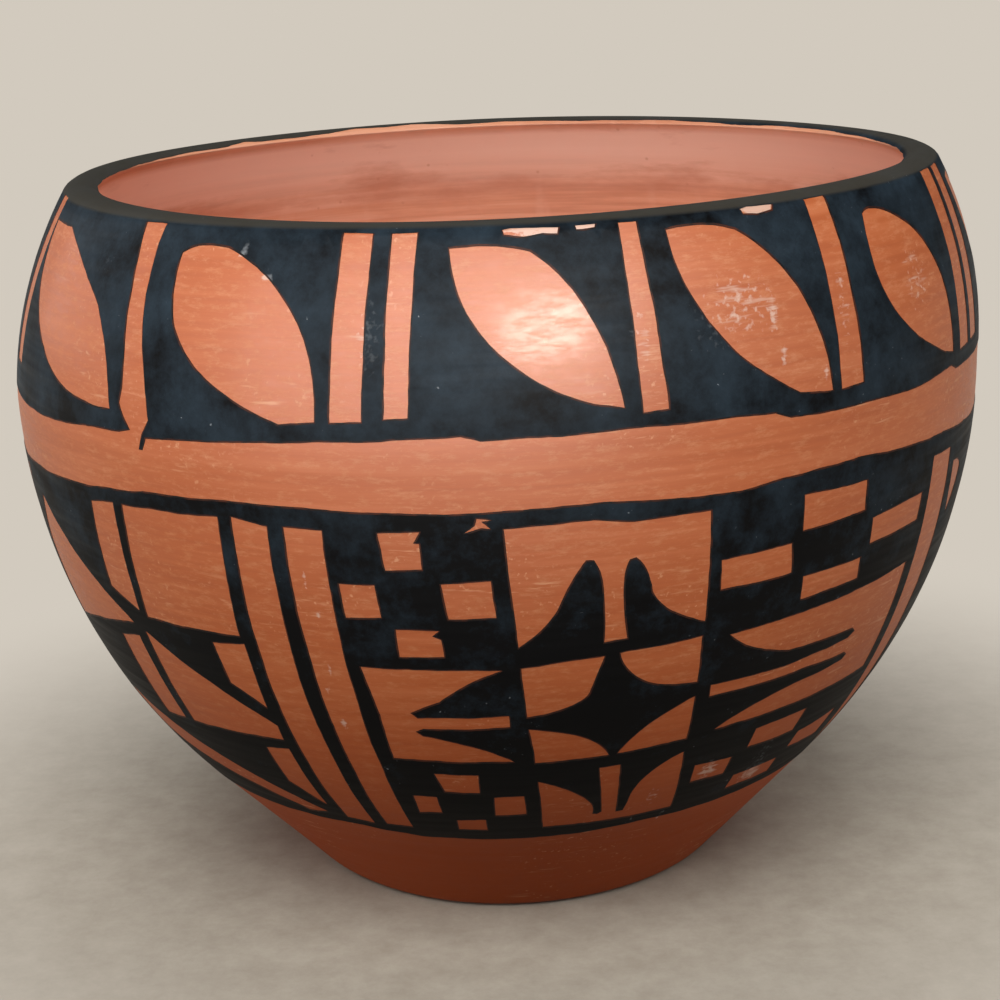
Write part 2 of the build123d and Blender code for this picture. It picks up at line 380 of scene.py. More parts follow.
WORN_PLACES = (
    Mark(25.0, 125.0, 14.0, 11.0, 0.52),
    Mark(52.0, 123.0, 10.0, 12.0, 0.49),
    Mark(38.3, 122.0, 3.0, 12.0, 0.53),
    Mark(-14.0, 124.0, 6.0, 12.0, 0.45),
    Mark(14.0, 122.0, 3.0, 12.0, 0.49),
    Mark(-29.4, 135.7, 1.0, 0.8),
    Mark(-25.7, 132.0, 1.2, 0.9),
    Mark(29.0, 123.0, 1.6, 5.0, 0.66),
    Mark(30.0, 116.0, 1.0, 3.0, 0.8),
    Mark(34.8, 112.0, 0.8, 2.2),
    Mark(-20.7, 83.5, 0.7, 3.5, 0.6),
    Mark(-19.9, 77.0, 0.8, 1.5, 0.7),
    Mark(-19.6, 66.0, 0.7, 3.0, 0.7),
    Mark(-20.6, 61.5, 1.1, 0.9, 0.8),
    Mark(-20.1, 54.0, 0.9, 2.6, 0.9),
    Mark(-13.8, 57.0, 0.7, 4.0, 0.6),
    Mark(-12.4, 49.5, 0.7, 2.0, 0.6),
    Mark(20.0, 33.0, 4.0, 6.0, 0.5),
    Mark(28.0, 37.0, 4.5, 4.0, 0.6),
    Mark(38.5, 31.5, 7.0, 4.0, 0.6),
    Mark(38.0, 38.0, 5.0, 4.0, 0.45),
    Mark(18.3, 29.0, 0.5, 3.0, 0.8),
    Mark(23.6, 26.5, 0.7, 2.5, 0.9),
    Mark(-50.0, 132.0, 4.0, 4.0, 0.42),
    Mark(-26.0, 134.0, 3.0, 2.0, 0.45),
    Mark(-8.0, 126.0, 1.5, 6.0, 0.4),
)

# Places at the lip where the paint has come off, so that the clay below them is worn too.
CHIPPED_PLACES = (
    Mark(5.5, 138.8, 12.0, 1.6),
    Mark(29.2, 138.8, 5.0, 1.6),
)


def wear_at(azimuth: Numbers, height: Numbers, marks: Sequence[Mark] = WORN_PLACES) -> Numbers:
    """Wear at points of the outside.

    Args:
        azimuth: Azimuths in degrees.
        height: Heights in millimetres.
        marks: Worn places.

    Returns:
        Share of wear at each point.
    """
    worn = np.zeros_like(azimuth)
    for mark in marks:
        across = (azimuth - mark.azimuth) * DEGREE * WallForm.widest_radius / mark.across
        up = (height - mark.height) / mark.up
        worn = np.maximum(worn, mark.strength * np.exp(-(across**2 + up**2)))
    return worn


def deselect() -> None:
    """Leaves edit mode and clears the selection."""
    if bpy.context.mode != "OBJECT":
        bpy.ops.object.mode_set(mode="OBJECT")
    bpy.ops.object.select_all(action="DESELECT")


def pick(piece: bpy.types.Object) -> None:
    """Makes a piece the only selected and the active one."""
    deselect()
    piece.select_set(True)
    bpy.context.view_layer.objects.active = piece


def shaded(piece: bpy.types.Object, normals: Numbers) -> None:
    """Gives a piece smooth shading with a normal for each vertex, so that it runs on over its joints."""
    piece.data.shade_smooth()
    piece.data.normals_split_custom_set_from_vertices([Vector(normal) for normal in normals])


def coordinates(piece: bpy.types.Object) -> Numbers:
    """Coordinates of a piece's vertices, one row each."""
    flat = np.empty(len(piece.data.vertices) * 3)
    piece.data.vertices.foreach_get("co", flat)
    return flat.reshape(-1, 3)


def move_to(piece: bpy.types.Object, points: Numbers) -> None:
    """Moves a piece's vertices to new points."""
    piece.data.vertices.foreach_set("co", points.ravel())
    piece.data.update()


def write_wear(piece: bpy.types.Object, worn: Numbers) -> None:
    """Stores a share of wear on each vertex of a piece."""
    attribute = piece.data.attributes.new(WEAR, "FLOAT", "POINT")
    attribute.data.foreach_set("value", worn.astype(np.float32))


@dataclass(frozen=True)
class BurnishedSlip:
    """Iron-red clay slip, rubbed with a smooth stone before firing.

    It gives satin orange-red: level stone strokes, cloudy firing, pale flecks, scratches, and painted shade
    at the foot.
    """

    name: str = "iron_red_slip_stone_burnished"
    deep: str = "B65926"
    body: str = "BE602B"
    pale: str = "C76C3A"
    # Darker, more saturated orange mixed in towards the foot: painted shade of the downward-facing lower
    # wall.
    painted_foot_shade: str = "AC4509"
    fleck: str = "DB9B6F"
    bare: str = "DDB7A2"
    stroke_height: float = 1.5
    stroke_length: float = 45.0
    cloud_size: float = 24.0
    grain_height: float = 1.0
    grain_length: float = 3.4
    fleck_size: float = 1.0
    scuff_height: float = 0.8
    scuff_length: float = 7.0
    clouding: Span = Span(0.42, 0.72, end=0.45)
    graining: Span = Span(0.5, 0.78, end=0.5)
    # Heights of the painted foot shade: none from 66 mm up, most at 20 mm and below.
    painted_foot_shading: Span = Span(66.0, 20.0, end=0.95)
    rubbing: Span = Span(0.5, 0.62)
    flecking: Span = Span(0.64, 0.74, end=0.7)
    scuffing: Span = Span(0.62, 0.73, end=0.7)
    baring: Span = Span(0.26, 0.36, end=0.8)
    stroke_gloss: Span = Span(0.3, 0.7, 0.48, 0.58)
    sheen_heights: Span = Span(20.0, 95.0, 0.1, 0.4)
    grain_polish: Span = Span(0.38, 0.6, 0.75, 0.1)
    polish_roughness: float = 0.2

    def material(self) -> bpy.types.Material:
        """Builds the slip's material.

        Returns:
            The material.
        """
        made, shader, place = start_finish(self.name)
        tree = made.node_tree
        height = add(tree, "SeparateXYZ", {0: place}, "Z")
        strokes = drawn_out(place, self.stroke_length, self.stroke_height, 5.0, 0.62)
        clouds = add(tree, "TexNoise", {"Vector": place, "Scale": per_mm(self.cloud_size), "Detail": 4.0})
        grains = drawn_out(place, self.grain_length, self.grain_height, 5.0, 0.75)
        specks = add(tree, "TexNoise", {"Vector": place, "Scale": per_mm(self.fleck_size), "Detail": 2.0})
        rubs = drawn_out(place, self.scuff_length, self.scuff_height)
        cloudy = add(tree, "MapRange", self.clouding.of(clouds))
        grainy = add(tree, "MapRange", self.graining.of(grains))
        # Painted shade: the slip grows darker towards the foot.
        painted_light_tone = add(tree, "MapRange", self.painted_foot_shading.of(height, MM))
        rubbed = add(tree, "MapRange", self.rubbing.of(clouds))
        flecked = add(tree, "MapRange", self.flecking.of(specks))
        flecks = add(tree, "Math", {0: flecked, 1: rubbed}, operation="MULTIPLY")
        scuffed = add(tree, "MapRange", self.scuffing.of(rubs))
        scuffs = add(tree, "Math", {0: scuffed, 1: rubbed}, operation="MULTIPLY")
        pale = add(tree, "Math", {0: flecks, 1: scuffs}, operation="MAXIMUM")
        worn = add(tree, "Attribute", output="Fac", attribute_name=WEAR)
        flaked = add(tree, "Math", {0: specks, 1: rubs}, operation="MAXIMUM")
        ragged = add(tree, "Math", {0: worn, 1: flaked}, operation="MULTIPLY")
        bare = add(tree, "MapRange", self.baring.of(ragged))
        colour = add(tree, "ValToRGB", {0: strokes},
                     stops=((0.33, self.deep), (0.68, self.pale), (0.5, self.body)))
        for share, tone in ((cloudy, self.deep), (grainy, self.fleck), (painted_light_tone, self.painted_foot_shade),
                            (pale, self.fleck), (bare, self.bare)):
            layer = {SHARE: share, UNDER: colour, OVER: linear(tone)}
            colour = add(tree, "Mix", layer, MIXED, data_type="RGBA")
        sheen = add(tree, "MapRange", self.sheen_heights.of(height, MM))
        polish = add(tree, "MapRange", self.grain_polish.of(grains))
        wire(shader, {
            "Base Color": colour,
            "Roughness": add(tree, "MapRange", self.stroke_gloss.of(strokes)),
            "Normal": add(tree, "Bump", {"Strength": 0.35, "Distance": 0.04 * MM, "Height": strokes}),
            "Specular IOR Level": sheen,
            "Coat Weight": add(tree, "Math", {0: polish, 1: sheen}, operation="MULTIPLY"),
            "Coat Roughness": self.polish_roughness,
        })
        return made


@dataclass(frozen=True)
class SmoothedClay:
    """Bare terracotta of the inside, smoothed level with a wet hand.

    It is matt and pinker than the slip: level drag lines, smears, pale runs and small pits, with painted
    light and shade.
    """

    name: str = "terracotta_hand_smoothed"
    shade: str = "C67B57"
    body: str = "DB936D"
    pale: str = "E6A98C"
    # Paler tone near the top of the inside: painted light on the upper inside wall.
    painted_light_top: str = "FBCDB6"
    drag_height: float = 2.2
    drag_length: float = 70.0
    run_width: float = 5.0
    run_length: float = 60.0
    smear_height: float = 7.0
    smear_length: float = 30.0
    pit_size: float = 6.0
    # Height of a darker band round the inside: painted shade where the wall turns in under the rim.
    shade_ring_height: float = 124.0
    streaking: Span = Span(0.58, 0.74, end=0.3)
    # Heights over which the painted light on the upper inside grows.
    painted_light_heights: Span = Span(122.0, 133.0, end=0.9)
    # Heights at which the painted light fades out, below the lip's crown.
    below_lip: Span = Span(137.0, 138.8, 1.0, 0.0)
    shade_ring_reach: Span = Span(7.0, 0.0, -0.1, 0.12)
    smear_and_shade_spread: Span = Span(0.48, 0.7, end=0.75)
    pitting: Span = Span(0.03, 0.09, 0.55)
    roughness: float = 0.72

    def material(self) -> bpy.types.Material:
        """Builds the clay's material.

        Returns:
            The material.
        """
        made, shader, place = start_finish(self.name)
        tree = made.node_tree
        height = add(tree, "SeparateXYZ", {0: place}, "Z")
        drags = drawn_out(place, self.drag_length, self.drag_height, 5.0, 0.6)
        runs = drawn_out(place, self.run_width, self.run_length)
        smears = drawn_out(place, self.smear_length, self.smear_height, 6.0, 0.6)
        streaks = add(tree, "MapRange", self.streaking.of(runs))
        # Painted light: the inside grows paler towards its top, and stops below the lip.
        painted_light = add(tree, "MapRange", self.painted_light_heights.of(height, MM))
        below_lip = add(tree, "MapRange", self.below_lip.of(height, MM))
        painted_light = add(tree, "Math", {0: painted_light, 1: below_lip}, operation="MULTIPLY")
        # Painted shade: a darker band round the inside at one height, laid over the clay's own smears.
        off_shade_ring = add(tree, "Math", {0: height, 1: self.shade_ring_height * MM}, operation="SUBTRACT")
        off_shade_ring = add(tree, "Math", {0: off_shade_ring}, operation="ABSOLUTE")
        ring = add(tree, "MapRange", self.shade_ring_reach.of(off_shade_ring, MM))
        smears_and_painted_shade = add(tree, "Math", {0: smears, 1: ring}, operation="ADD")
        smears_and_painted_shade = add(tree, "MapRange", self.smear_and_shade_spread.of(smears_and_painted_shade))
        colour = add(tree, "ValToRGB", {0: drags},
                     stops=((0.3, self.shade), (0.72, self.pale), (0.5, self.body)))
        # Pale runs are the clay's own; the next layers are painted light at the top and the painted shade
        # band.
        for share, tone in ((streaks, self.pale), (painted_light, self.painted_light_top), (smears_and_painted_shade, self.shade)):
            layer = {SHARE: share, UNDER: colour, OVER: linear(tone)}
            colour = add(tree, "Mix", layer, MIXED, data_type="RGBA")
        # Pits in the clay, with the shade colour mixed into each as painted shade; the bump sinks them too.
        cells = add(tree, "TexVoronoi", {"Vector": place, "Scale": per_mm(self.pit_size)}, "Distance")
        pits = add(tree, "MapRange", self.pitting.of(cells))
        pits_in_painted_shade = {SHARE: pits, UNDER: linear(self.shade), OVER: colour}
        ridges = add(tree, "Math", {0: drags, 1: pits}, operation="MULTIPLY")
        wire(shader, {
            "Base Color": add(tree, "Mix", pits_in_painted_shade, MIXED, data_type="RGBA"),
            "Normal": add(tree, "Bump", {"Strength": 0.6, "Distance": 0.15 * MM, "Height": ridges}),
            "Roughness": self.roughness,
        })
        return made


@dataclass(frozen=True)
class BlackPaint:
    """Black plant and mineral paint, brushed on and rubbed in before firing.

    It is a blue-black satin skin with smoke-grey rubbed patches, small pale scuffs, a browner lip, and
    painted sheen up high.
    """

    name: str = "black_mineral_paint_brushed"
    black: str = "070708"
    # Blue-grey of the rubbed smoke patches, which also spreads further up the wall as painted sheen.
    painted_light_tone: str = "2E3B45"
    lip: str = "3F3B33"
    scuff: str = "A9ADB0"
    smoke_size: float = 13.0
    scuff_size: float = 0.9
    brush_height: float = 1.3
    brush_length: float = 30.0
    # Heights of the painted sheen that pushes the paint towards its blue-grey higher up.
    painted_sheen_heights: Span = Span(50.0, 118.0, -0.2, 0.05)
    lip_heights: Span = Span(139.7, 140.15, end=0.8)
    scuffing: Span = Span(0.71, 0.77, end=0.8)
    rubbing: Span = Span(0.54, 0.66)
    baring: Span = Span(0.2, 0.6, end=0.7)
    stroke_gloss: Span = Span(0.3, 0.7, 0.46, 0.6)
    specular: float = 0.05

    def material(self) -> bpy.types.Material:
        """Builds the paint's material.

        Returns:
            The material.
        """
        made, shader, place = start_finish(self.name)
        tree = made.node_tree
        height = add(tree, "SeparateXYZ", {0: place}, "Z")
        smoke = add(tree, "TexNoise", {"Vector": place, "Scale": per_mm(self.smoke_size), "Detail": 8.0,
                                       "Roughness": 0.74})
        specks = add(tree, "TexNoise", {"Vector": place, "Scale": per_mm(self.scuff_size), "Detail": 2.0})
        strokes = drawn_out(place, self.brush_length, self.brush_height)
        # Painted sheen: the paint turns greyer and bluer towards the top.
        painted_sheen = add(tree, "MapRange", self.painted_sheen_heights.of(height, MM))
        smoke_and_painted_sheen = add(tree, "Math", {0: smoke, 1: painted_sheen}, operation="ADD")
        on_lip = add(tree, "MapRange", self.lip_heights.of(height, MM))
        scuffed = add(tree, "MapRange", self.scuffing.of(specks))
        rubbed = add(tree, "MapRange", self.rubbing.of(smoke))
        scuffs = add(tree, "Math", {0: scuffed, 1: rubbed}, operation="MULTIPLY")
        worn = add(tree, "Attribute", output="Fac", attribute_name=WEAR)
        ragged = add(tree, "Math", {0: worn, 1: specks}, operation="MULTIPLY")
        bare = add(tree, "MapRange", self.baring.of(ragged))
        pale = add(tree, "Math", {0: scuffs, 1: bare}, operation="MAXIMUM")
        colour = add(tree, "ValToRGB", {0: smoke_and_painted_sheen}, stops=((0.38, self.black), (0.8, self.painted_light_tone)))
        for share, tone in ((on_lip, self.lip), (pale, self.scuff)):
            layer = {SHARE: share, UNDER: colour, OVER: linear(tone)}
            colour = add(tree, "Mix", layer, MIXED, data_type="RGBA")
        wire(shader, {
            "Base Color": colour,
            "Roughness": add(tree, "MapRange", self.stroke_gloss.of(strokes)),
            "Normal": add(tree, "Bump", {"Strength": 0.3, "Distance": 0.03 * MM, "Height": strokes}),
            "Specular IOR Level": self.specular,
        })
        return made


@dataclass(frozen=True)
class ThinPaint:
    """Edge of a brush stroke, where the black paint runs out and the red slip shows through it."""

    name: str = "black_mineral_paint_thin_edge"
    dark: str = "1A1412"
    brown: str = "4A2416"
    patch_size: float = 2.4
    roughness: float = 0.55
    specular: float = 0.1

    def material(self) -> bpy.types.Material:
        """Builds the edge's material.

        Returns:
            The material.
        """
        made, shader, place = start_finish(self.name)
        tree = made.node_tree
        patches = add(tree, "TexNoise", {"Vector": place, "Scale": per_mm(self.patch_size), "Detail": 3.0})
        wire(shader, {
            "Base Color": add(tree, "ValToRGB", {0: patches}, stops=((0.4, self.dark), (0.65, self.brown))),
            "Roughness": self.roughness,
            "Specular IOR Level": self.specular,
        })
        return made


@dataclass(frozen=True)
class PaleFloor:
    """Matt pale floor, faintly mottled like unbleached cloth, that runs up into a paler background.

    The background glows only where it is seen. The light that the floor throws on the jar is dimmer.
    """

    name: str = "pale_studio_floor_matt"
    light: str = "B0A798"
    dark: str = "A09687"
    background: str = "D2CABE"
    thrown: str = "4C453D"
    mottle_size: float = 9.0
    distance: Span = Span(60.0, 205.0)
    roughness: float = 0.9
    specular: float = 0.1

    def material(self) -> bpy.types.Material:
        """Builds the floor's material.

        Returns:
            The material.
        """
        made, shader, place = start_finish(self.name)
        tree = made.node_tree
        mottle = add(tree, "TexNoise", {"Vector": place, "Scale": per_mm(self.mottle_size), "Detail": 8.0,
                                        "Roughness": 0.75})
        tone = add(tree, "ValToRGB", {0: mottle}, stops=((0.35, self.dark), (0.65, self.light)))
        away = add(tree, "VectorMath", {0: place}, "Value", operation="LENGTH")
        distant = add(tree, "MapRange", self.distance.of(away, MM), interpolation_type="SMOOTHSTEP")
        rays = add(tree, "LightPath").node.outputs
        seen = rays["Is Camera Ray"]
        for ray in ("Is Glossy Ray", "Is Transmission Ray"):
            seen = add(tree, "Math", {0: seen, 1: rays[ray]}, operation="MAXIMUM")
        cloth = {SHARE: seen, UNDER: linear(self.thrown), OVER: tone}
        wire(shader, {
            "Base Color": add(tree, "Mix", cloth, MIXED, data_type="RGBA"),
            "Roughness": self.roughness,
            "Specular IOR Level": self.specular,
        })
        share = add(tree, "Math", {0: distant, 1: seen}, operation="MULTIPLY")
        glow = add(tree, "Emission", {"Color": linear(self.background)})
        mixed = add(tree, "MixShader", {0: share, 1: shader.outputs[0], 2: glow})
        wire(tree.nodes["Material Output"], {"Surface": mixed})
        return made


@dataclass
class ClayVessel:
    """Clay body of the jar: a base pad, equal wall coils and a rim coil, each lapped inside the one below."""

    wall: WallForm
    base_pad_height: float = 18.0
    rim_joint: float = 128.0
    wall_coils: int = 5
    lap: float = 5.0
    base_thickness: float = 8.0
    heel_round: float = 5.0
    floor_round: float = 10.0
    row: float = 1.1
    turn_steps: int = 400
    lip_steps: int = 13
    round_steps: int = 7
    disc_steps: int = 9
    weld: float = 0.001
    axis_gap: float = 0.05
    level_face: float = 0.99
    pieces: list[bpy.types.Object] = field(default_factory=list)

    @staticmethod
    def rows(parts: Iterable[Numbers]) -> list[Row]:
        """Radius, height and tilt of each point, from the lists of them."""
        return list(zip(*(part.tolist() for part in parts)))

    def steps(self, start: float, end: float) -> Numbers:
        """Even steps from one run to another, about a row apart."""
        return np.linspace(start, end, max(2, ceil(abs(end - start) / self.row)) + 1)

    def outer_rows(self, low: float, high: float) -> list[Row]:
        """Radius, height and tilt of points up the outer face, between two runs."""
        return self.rows(self.wall.trace(self.steps(low, high)))

    def inner_rows(self, high: float, low: float) -> list[Row]:
        """Radius, height and tilt of points down the inner face, between two heights."""
        heights = self.steps(high, low)
        depth = self.wall.thickness
        return self.rows((self.wall.radius(heights, depth), heights, self.wall.tilt(heights, depth) + pi))

    def coil_section(self, low: float, high: float) -> list[Row]:
        """Closed section of a wall coil between the runs of its two joints."""
        return self.outer_rows(low, high) + self.inner_rows(high - self.lap, low - self.lap)

    def rim_section(self) -> list[Row]:
        """Closed section of the rim coil, over the crown of the lip."""
        wall = self.wall
        over = np.linspace(wall.lip_height, wall.lip_height + wall.lip_run, self.lip_steps)[1:-1]
        return (self.outer_rows(self.rim_joint, wall.lip_height) + self.rows(wall.trace(over))
                + self.inner_rows(wall.lip_height, self.rim_joint - self.lap))

    def rounded(self, corner: Spot, before: Spot, after: Spot, size: float) -> list[Row]:
        """Round in a corner of the section.

        Args:
            corner: Radius and height of the corner.
            before: A spot on the side before it.
            after: A spot on the side after it.
            size: Radius of the round.

        Returns:
            Radius, height and tilt of its points, from the side before to the side after.
        """
        corner_at = Vector(corner)
        to_before = (Vector(before) - corner_at).normalized()
        to_after = (Vector(after) - corner_at).normalized()
        half = to_before.angle(to_after) / 2
        reach = size / np.tan(half)
        centre = corner_at + (to_before + to_after).normalized() * (size / sin(half))
        start = corner_at + to_before * reach - centre
        end = corner_at + to_after * reach - centre
        rows = []
        for share in np.linspace(0, 1, self.round_steps):
            spoke = start.slerp(end, float(share)) * size
            rows.append((centre.x + spoke.x, centre.y + spoke.y, float(np.arctan2(spoke.y, spoke.x))))
        return rows

    def base_section(self) -> list[Row]:
        """Section of the base pad.

        Returns:
            Open section, from the middle of its underside to the middle of its floor.
        """
        wall = self.wall
        depth = wall.thickness
        top = self.base_pad_height
        heel = (float(wall.radius(0.0)), 0.0)
        floor_edge = (float(wall.radius(self.base_thickness, depth)), self.base_thickness)
        side = (float(wall.radius(top)), top)
        inner_top = top - self.lap
        inner = (float(wall.radius(inner_top, depth)), inner_top)
        spokes = np.linspace(0, heel[0] - self.heel_round, self.disc_steps).tolist()
        underside = [(radius, 0.0, -pi / 2) for radius in spokes]
        round_heel = self.rounded(heel, (0.0, 0.0), side, self.heel_round)
        face = [spot for spot in self.outer_rows(0.0, top) if spot[1] > round_heel[-1][1] + self.row / 2]
        round_floor = self.rounded(floor_edge, inner, (0.0, self.base_thickness), self.floor_round)
        concave = [(radius, height, tilt + pi) for radius, height, tilt in round_floor]
        spokes = np.linspace(concave[-1][0], 0, self.disc_steps).tolist()
        floor = [(radius, self.base_thickness, pi / 2) for radius in spokes[1:]]
        lapped = [spot for spot in self.inner_rows(inner_top, 0.0) if spot[1] > concave[0][1] + self.row / 2]
        return underside[:-1] + round_heel + face + lapped + concave + floor

    def spun(self, name: str, section: list[Row], closed: bool) -> bpy.types.Object:
        """Turns a section round the upright axis and gives it the unevenness of hand work.

        Args:
            name: Name of the piece.
            section: Radius, height and tilt of the outward normal along the section.
            closed: Whether the section is a closed loop, as a coil's is, or ends on the axis.

        Returns:
            The finished piece, before its materials.
        """
        deselect()
        bpy.ops.mesh.primitive_circle_add(vertices=len(section), radius=1.0)
        piece = bpy.context.object
        piece.name = name
        move_to(piece, np.array([(0.0, -radius, height) for radius, height, _ in section]))
        bpy.ops.object.mode_set(mode="EDIT")
        if not closed:
            bpy.ops.mesh.select_all(action="DESELECT")
            bpy.ops.object.mode_set(mode="OBJECT")
            for edge in piece.data.edges:
                edge.select = set(edge.vertices) == {0, len(section) - 1}
            bpy.ops.object.mode_set(mode="EDIT")
            bpy.ops.mesh.delete(type="EDGE")
        bpy.ops.mesh.select_all(action="SELECT")
        bpy.ops.mesh.spin(steps=self.turn_steps, angle=radians(FULL_TURN), center=(0, 0, 0), axis=(0, 0, 1))
        bpy.ops.mesh.select_all(action="SELECT")
        bpy.ops.mesh.remove_doubles(threshold=self.weld)
        bpy.ops.mesh.normals_make_consistent(inside=False)
        bpy.ops.object.mode_set(mode="OBJECT")
        self.shape_by_hand(piece, np.array(section))
        return piece

    def shape_by_hand(self, piece: bpy.types.Object, section: Numbers) -> None:
        """Moves a turned piece onto the hand-shaped wall, with its shading, wear and material faces.

        Args:
            piece: Turned piece, in millimetres.
            section: Its section, with the tilt of the outward normal at each point.
        """
        turned = coordinates(piece)
        radius = np.hypot(turned[:, 0], turned[:, 1])
        azimuth = np.arctan2(turned[:, 0], -turned[:, 1])
        height = turned[:, 2]
        gaps = (radius[:, None] - section[:, 0]) ** 2 + (height[:, None] - section[:, 1]) ** 2
        tilt = section[gaps.argmin(1), 2]
        move_to(piece, self.wall.placed(azimuth, radius, height))
        outward = self.wall.normals(azimuth, np.maximum(radius, self.axis_gap), height, tilt)
        worn = wear_at(np.degrees(azimuth), height, WORN_PLACES + CHIPPED_PLACES)
        write_wear(piece, np.where(np.cos(tilt) > 0, worn, 0.0))
        shaded(piece, outward)
        inside = (np.cos(tilt) < 0) | ((np.sin(tilt) > self.level_face) & (height < self.base_pad_height))
        for polygon in piece.data.polygons:
            if inside[list(polygon.vertices)].sum() > len(polygon.vertices) / 2:
                polygon.material_index = Face.INSIDE.value

    def build(self) -> None:
        """Builds every coil, from the base up."""
        joints = np.linspace(self.base_pad_height, self.rim_joint, self.wall_coils + 1).tolist()
        self.pieces.append(self.spun("clay_base_pad", self.base_section(), closed=False))
        for index, (low, high) in enumerate(zip(joints, joints[1:]), start=1):
            coil = self.coil_section(low, high)
            self.pieces.append(self.spun(f"clay_wall_coil_{index}", coil, closed=True))
        self.pieces.append(self.spun("clay_rim_coil", self.rim_section(), closed=True))

    def dress(self, slip: bpy.types.Material, clay: bpy.types.Material) -> None:
        """Gives every coil its slip and bare clay, and its place in the frame.

        Args:
            slip: Burnished slip of the outside.
            clay: Smoothed clay of the inside.
        """
        for piece in self.pieces:
            piece.data.materials.append(slip)
            piece.data.materials.append(clay)
            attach(piece, BODY)
            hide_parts(piece.name.removeprefix("clay_"))
            log.info("%s: %d faces", piece.name, len(piece.data.polygons))


@dataclass(frozen=True)
class Brush:
    """Painter's hand: how closely an outline is drawn and how far it strays, in millimetres."""

    step: float = 1.1
    slow_stray: float = 0.26
    slow_length: float = 8.0
    quick_stray: float = 0.09
    quick_length: float = 1.7
    seed: int = 3
    degree: float = DEGREE * WallForm.widest_radius

    def drawn(self, strokes: Sequence[Stroke]) -> list[Spot]:
        """Outline of a closed shape, in millimetres round the widest ring and up the wall.

        Args:
            strokes: Azimuth and height of each corner. A pair of spots is a bowed stroke, through the first
                spot to the second.

        Returns:
            Points of the hand-drawn outline.
        """
        start = strokes[0]
        points: list[Spot] = []
        at = start
        for stroke in [*strokes[1:], start]:
            if isinstance(stroke[0], tuple):
                through, end = stroke
            else:
                through, end = ((at[0] + stroke[0]) / 2, (at[1] + stroke[1]) / 2), stroke
            points += self.bowed(at, through, end)
            at = end
        return self.strayed(points)

    def bowed(self, start: Spot, through: Spot, end: Spot) -> list[Spot]:
        """One stroke, a parabola.

        Args:
            start: Azimuth and height of its start.
            through: A spot half way along it.
            end: Its end.

        Returns:
            Azimuth and height of its points, without the end.
        """
        pull = [2 * t - (a + b) / 2 for a, t, b in zip(start, through, end)]
        halves = ((start, through), (through, end))
        length = sum(hypot((b[0] - a[0]) * self.degree, b[1] - a[1]) for a, b in halves)
        count = max(1, ceil(length / self.step))
        shares = [index / count for index in range(count)]
        return [tuple((1 - s) ** 2 * a + 2 * s * (1 - s) * p + s * s * b for a, p, b in zip(start, pull, end))
                for s in shares]

    def strayed(self, points: Iterable[Spot]) -> list[Spot]:
        """Points moved by the unsteadiness of the hand.

        Args:
            points: Azimuth and height of each point.

        Returns:
            Points in millimetres round the widest ring and up the wall.
        """
        unsteady = []
        for azimuth, height in points:
            angle = radians(azimuth)
            spot = Vector((sin(angle) * WallForm.widest_radius, -cos(angle) * WallForm.widest_radius, height))
            slow = noise.noise_vector(spot / self.slow_length) * self.slow_stray
            quick = noise.noise_vector(spot / self.quick_length) * self.quick_stray
            unsteady.append((azimuth * self.degree + slow.x + quick.x, height + slow.y + quick.y))
        return unsteady


def moved(strokes: Sequence[Stroke], shift: Callable[[float], float]) -> list[Stroke]:
    """Strokes in another place.

    Args:
        strokes: Strokes of an outline.
        shift: New azimuth for an azimuth.

    Returns:
        The same strokes with every azimuth changed.
    """
    return [tuple((shift(spot[0]), spot[1]) for spot in stroke) if isinstance(stroke[0], tuple)
            else (shift(stroke[0]), stroke[1]) for stroke in strokes]


def box(left: float, right: float, low: float, high: float) -> list[Stroke]:
    """Strokes of an upright window between two azimuths and two heights."""
    return [(left, low), (right, low), (right, high), (left, high)]


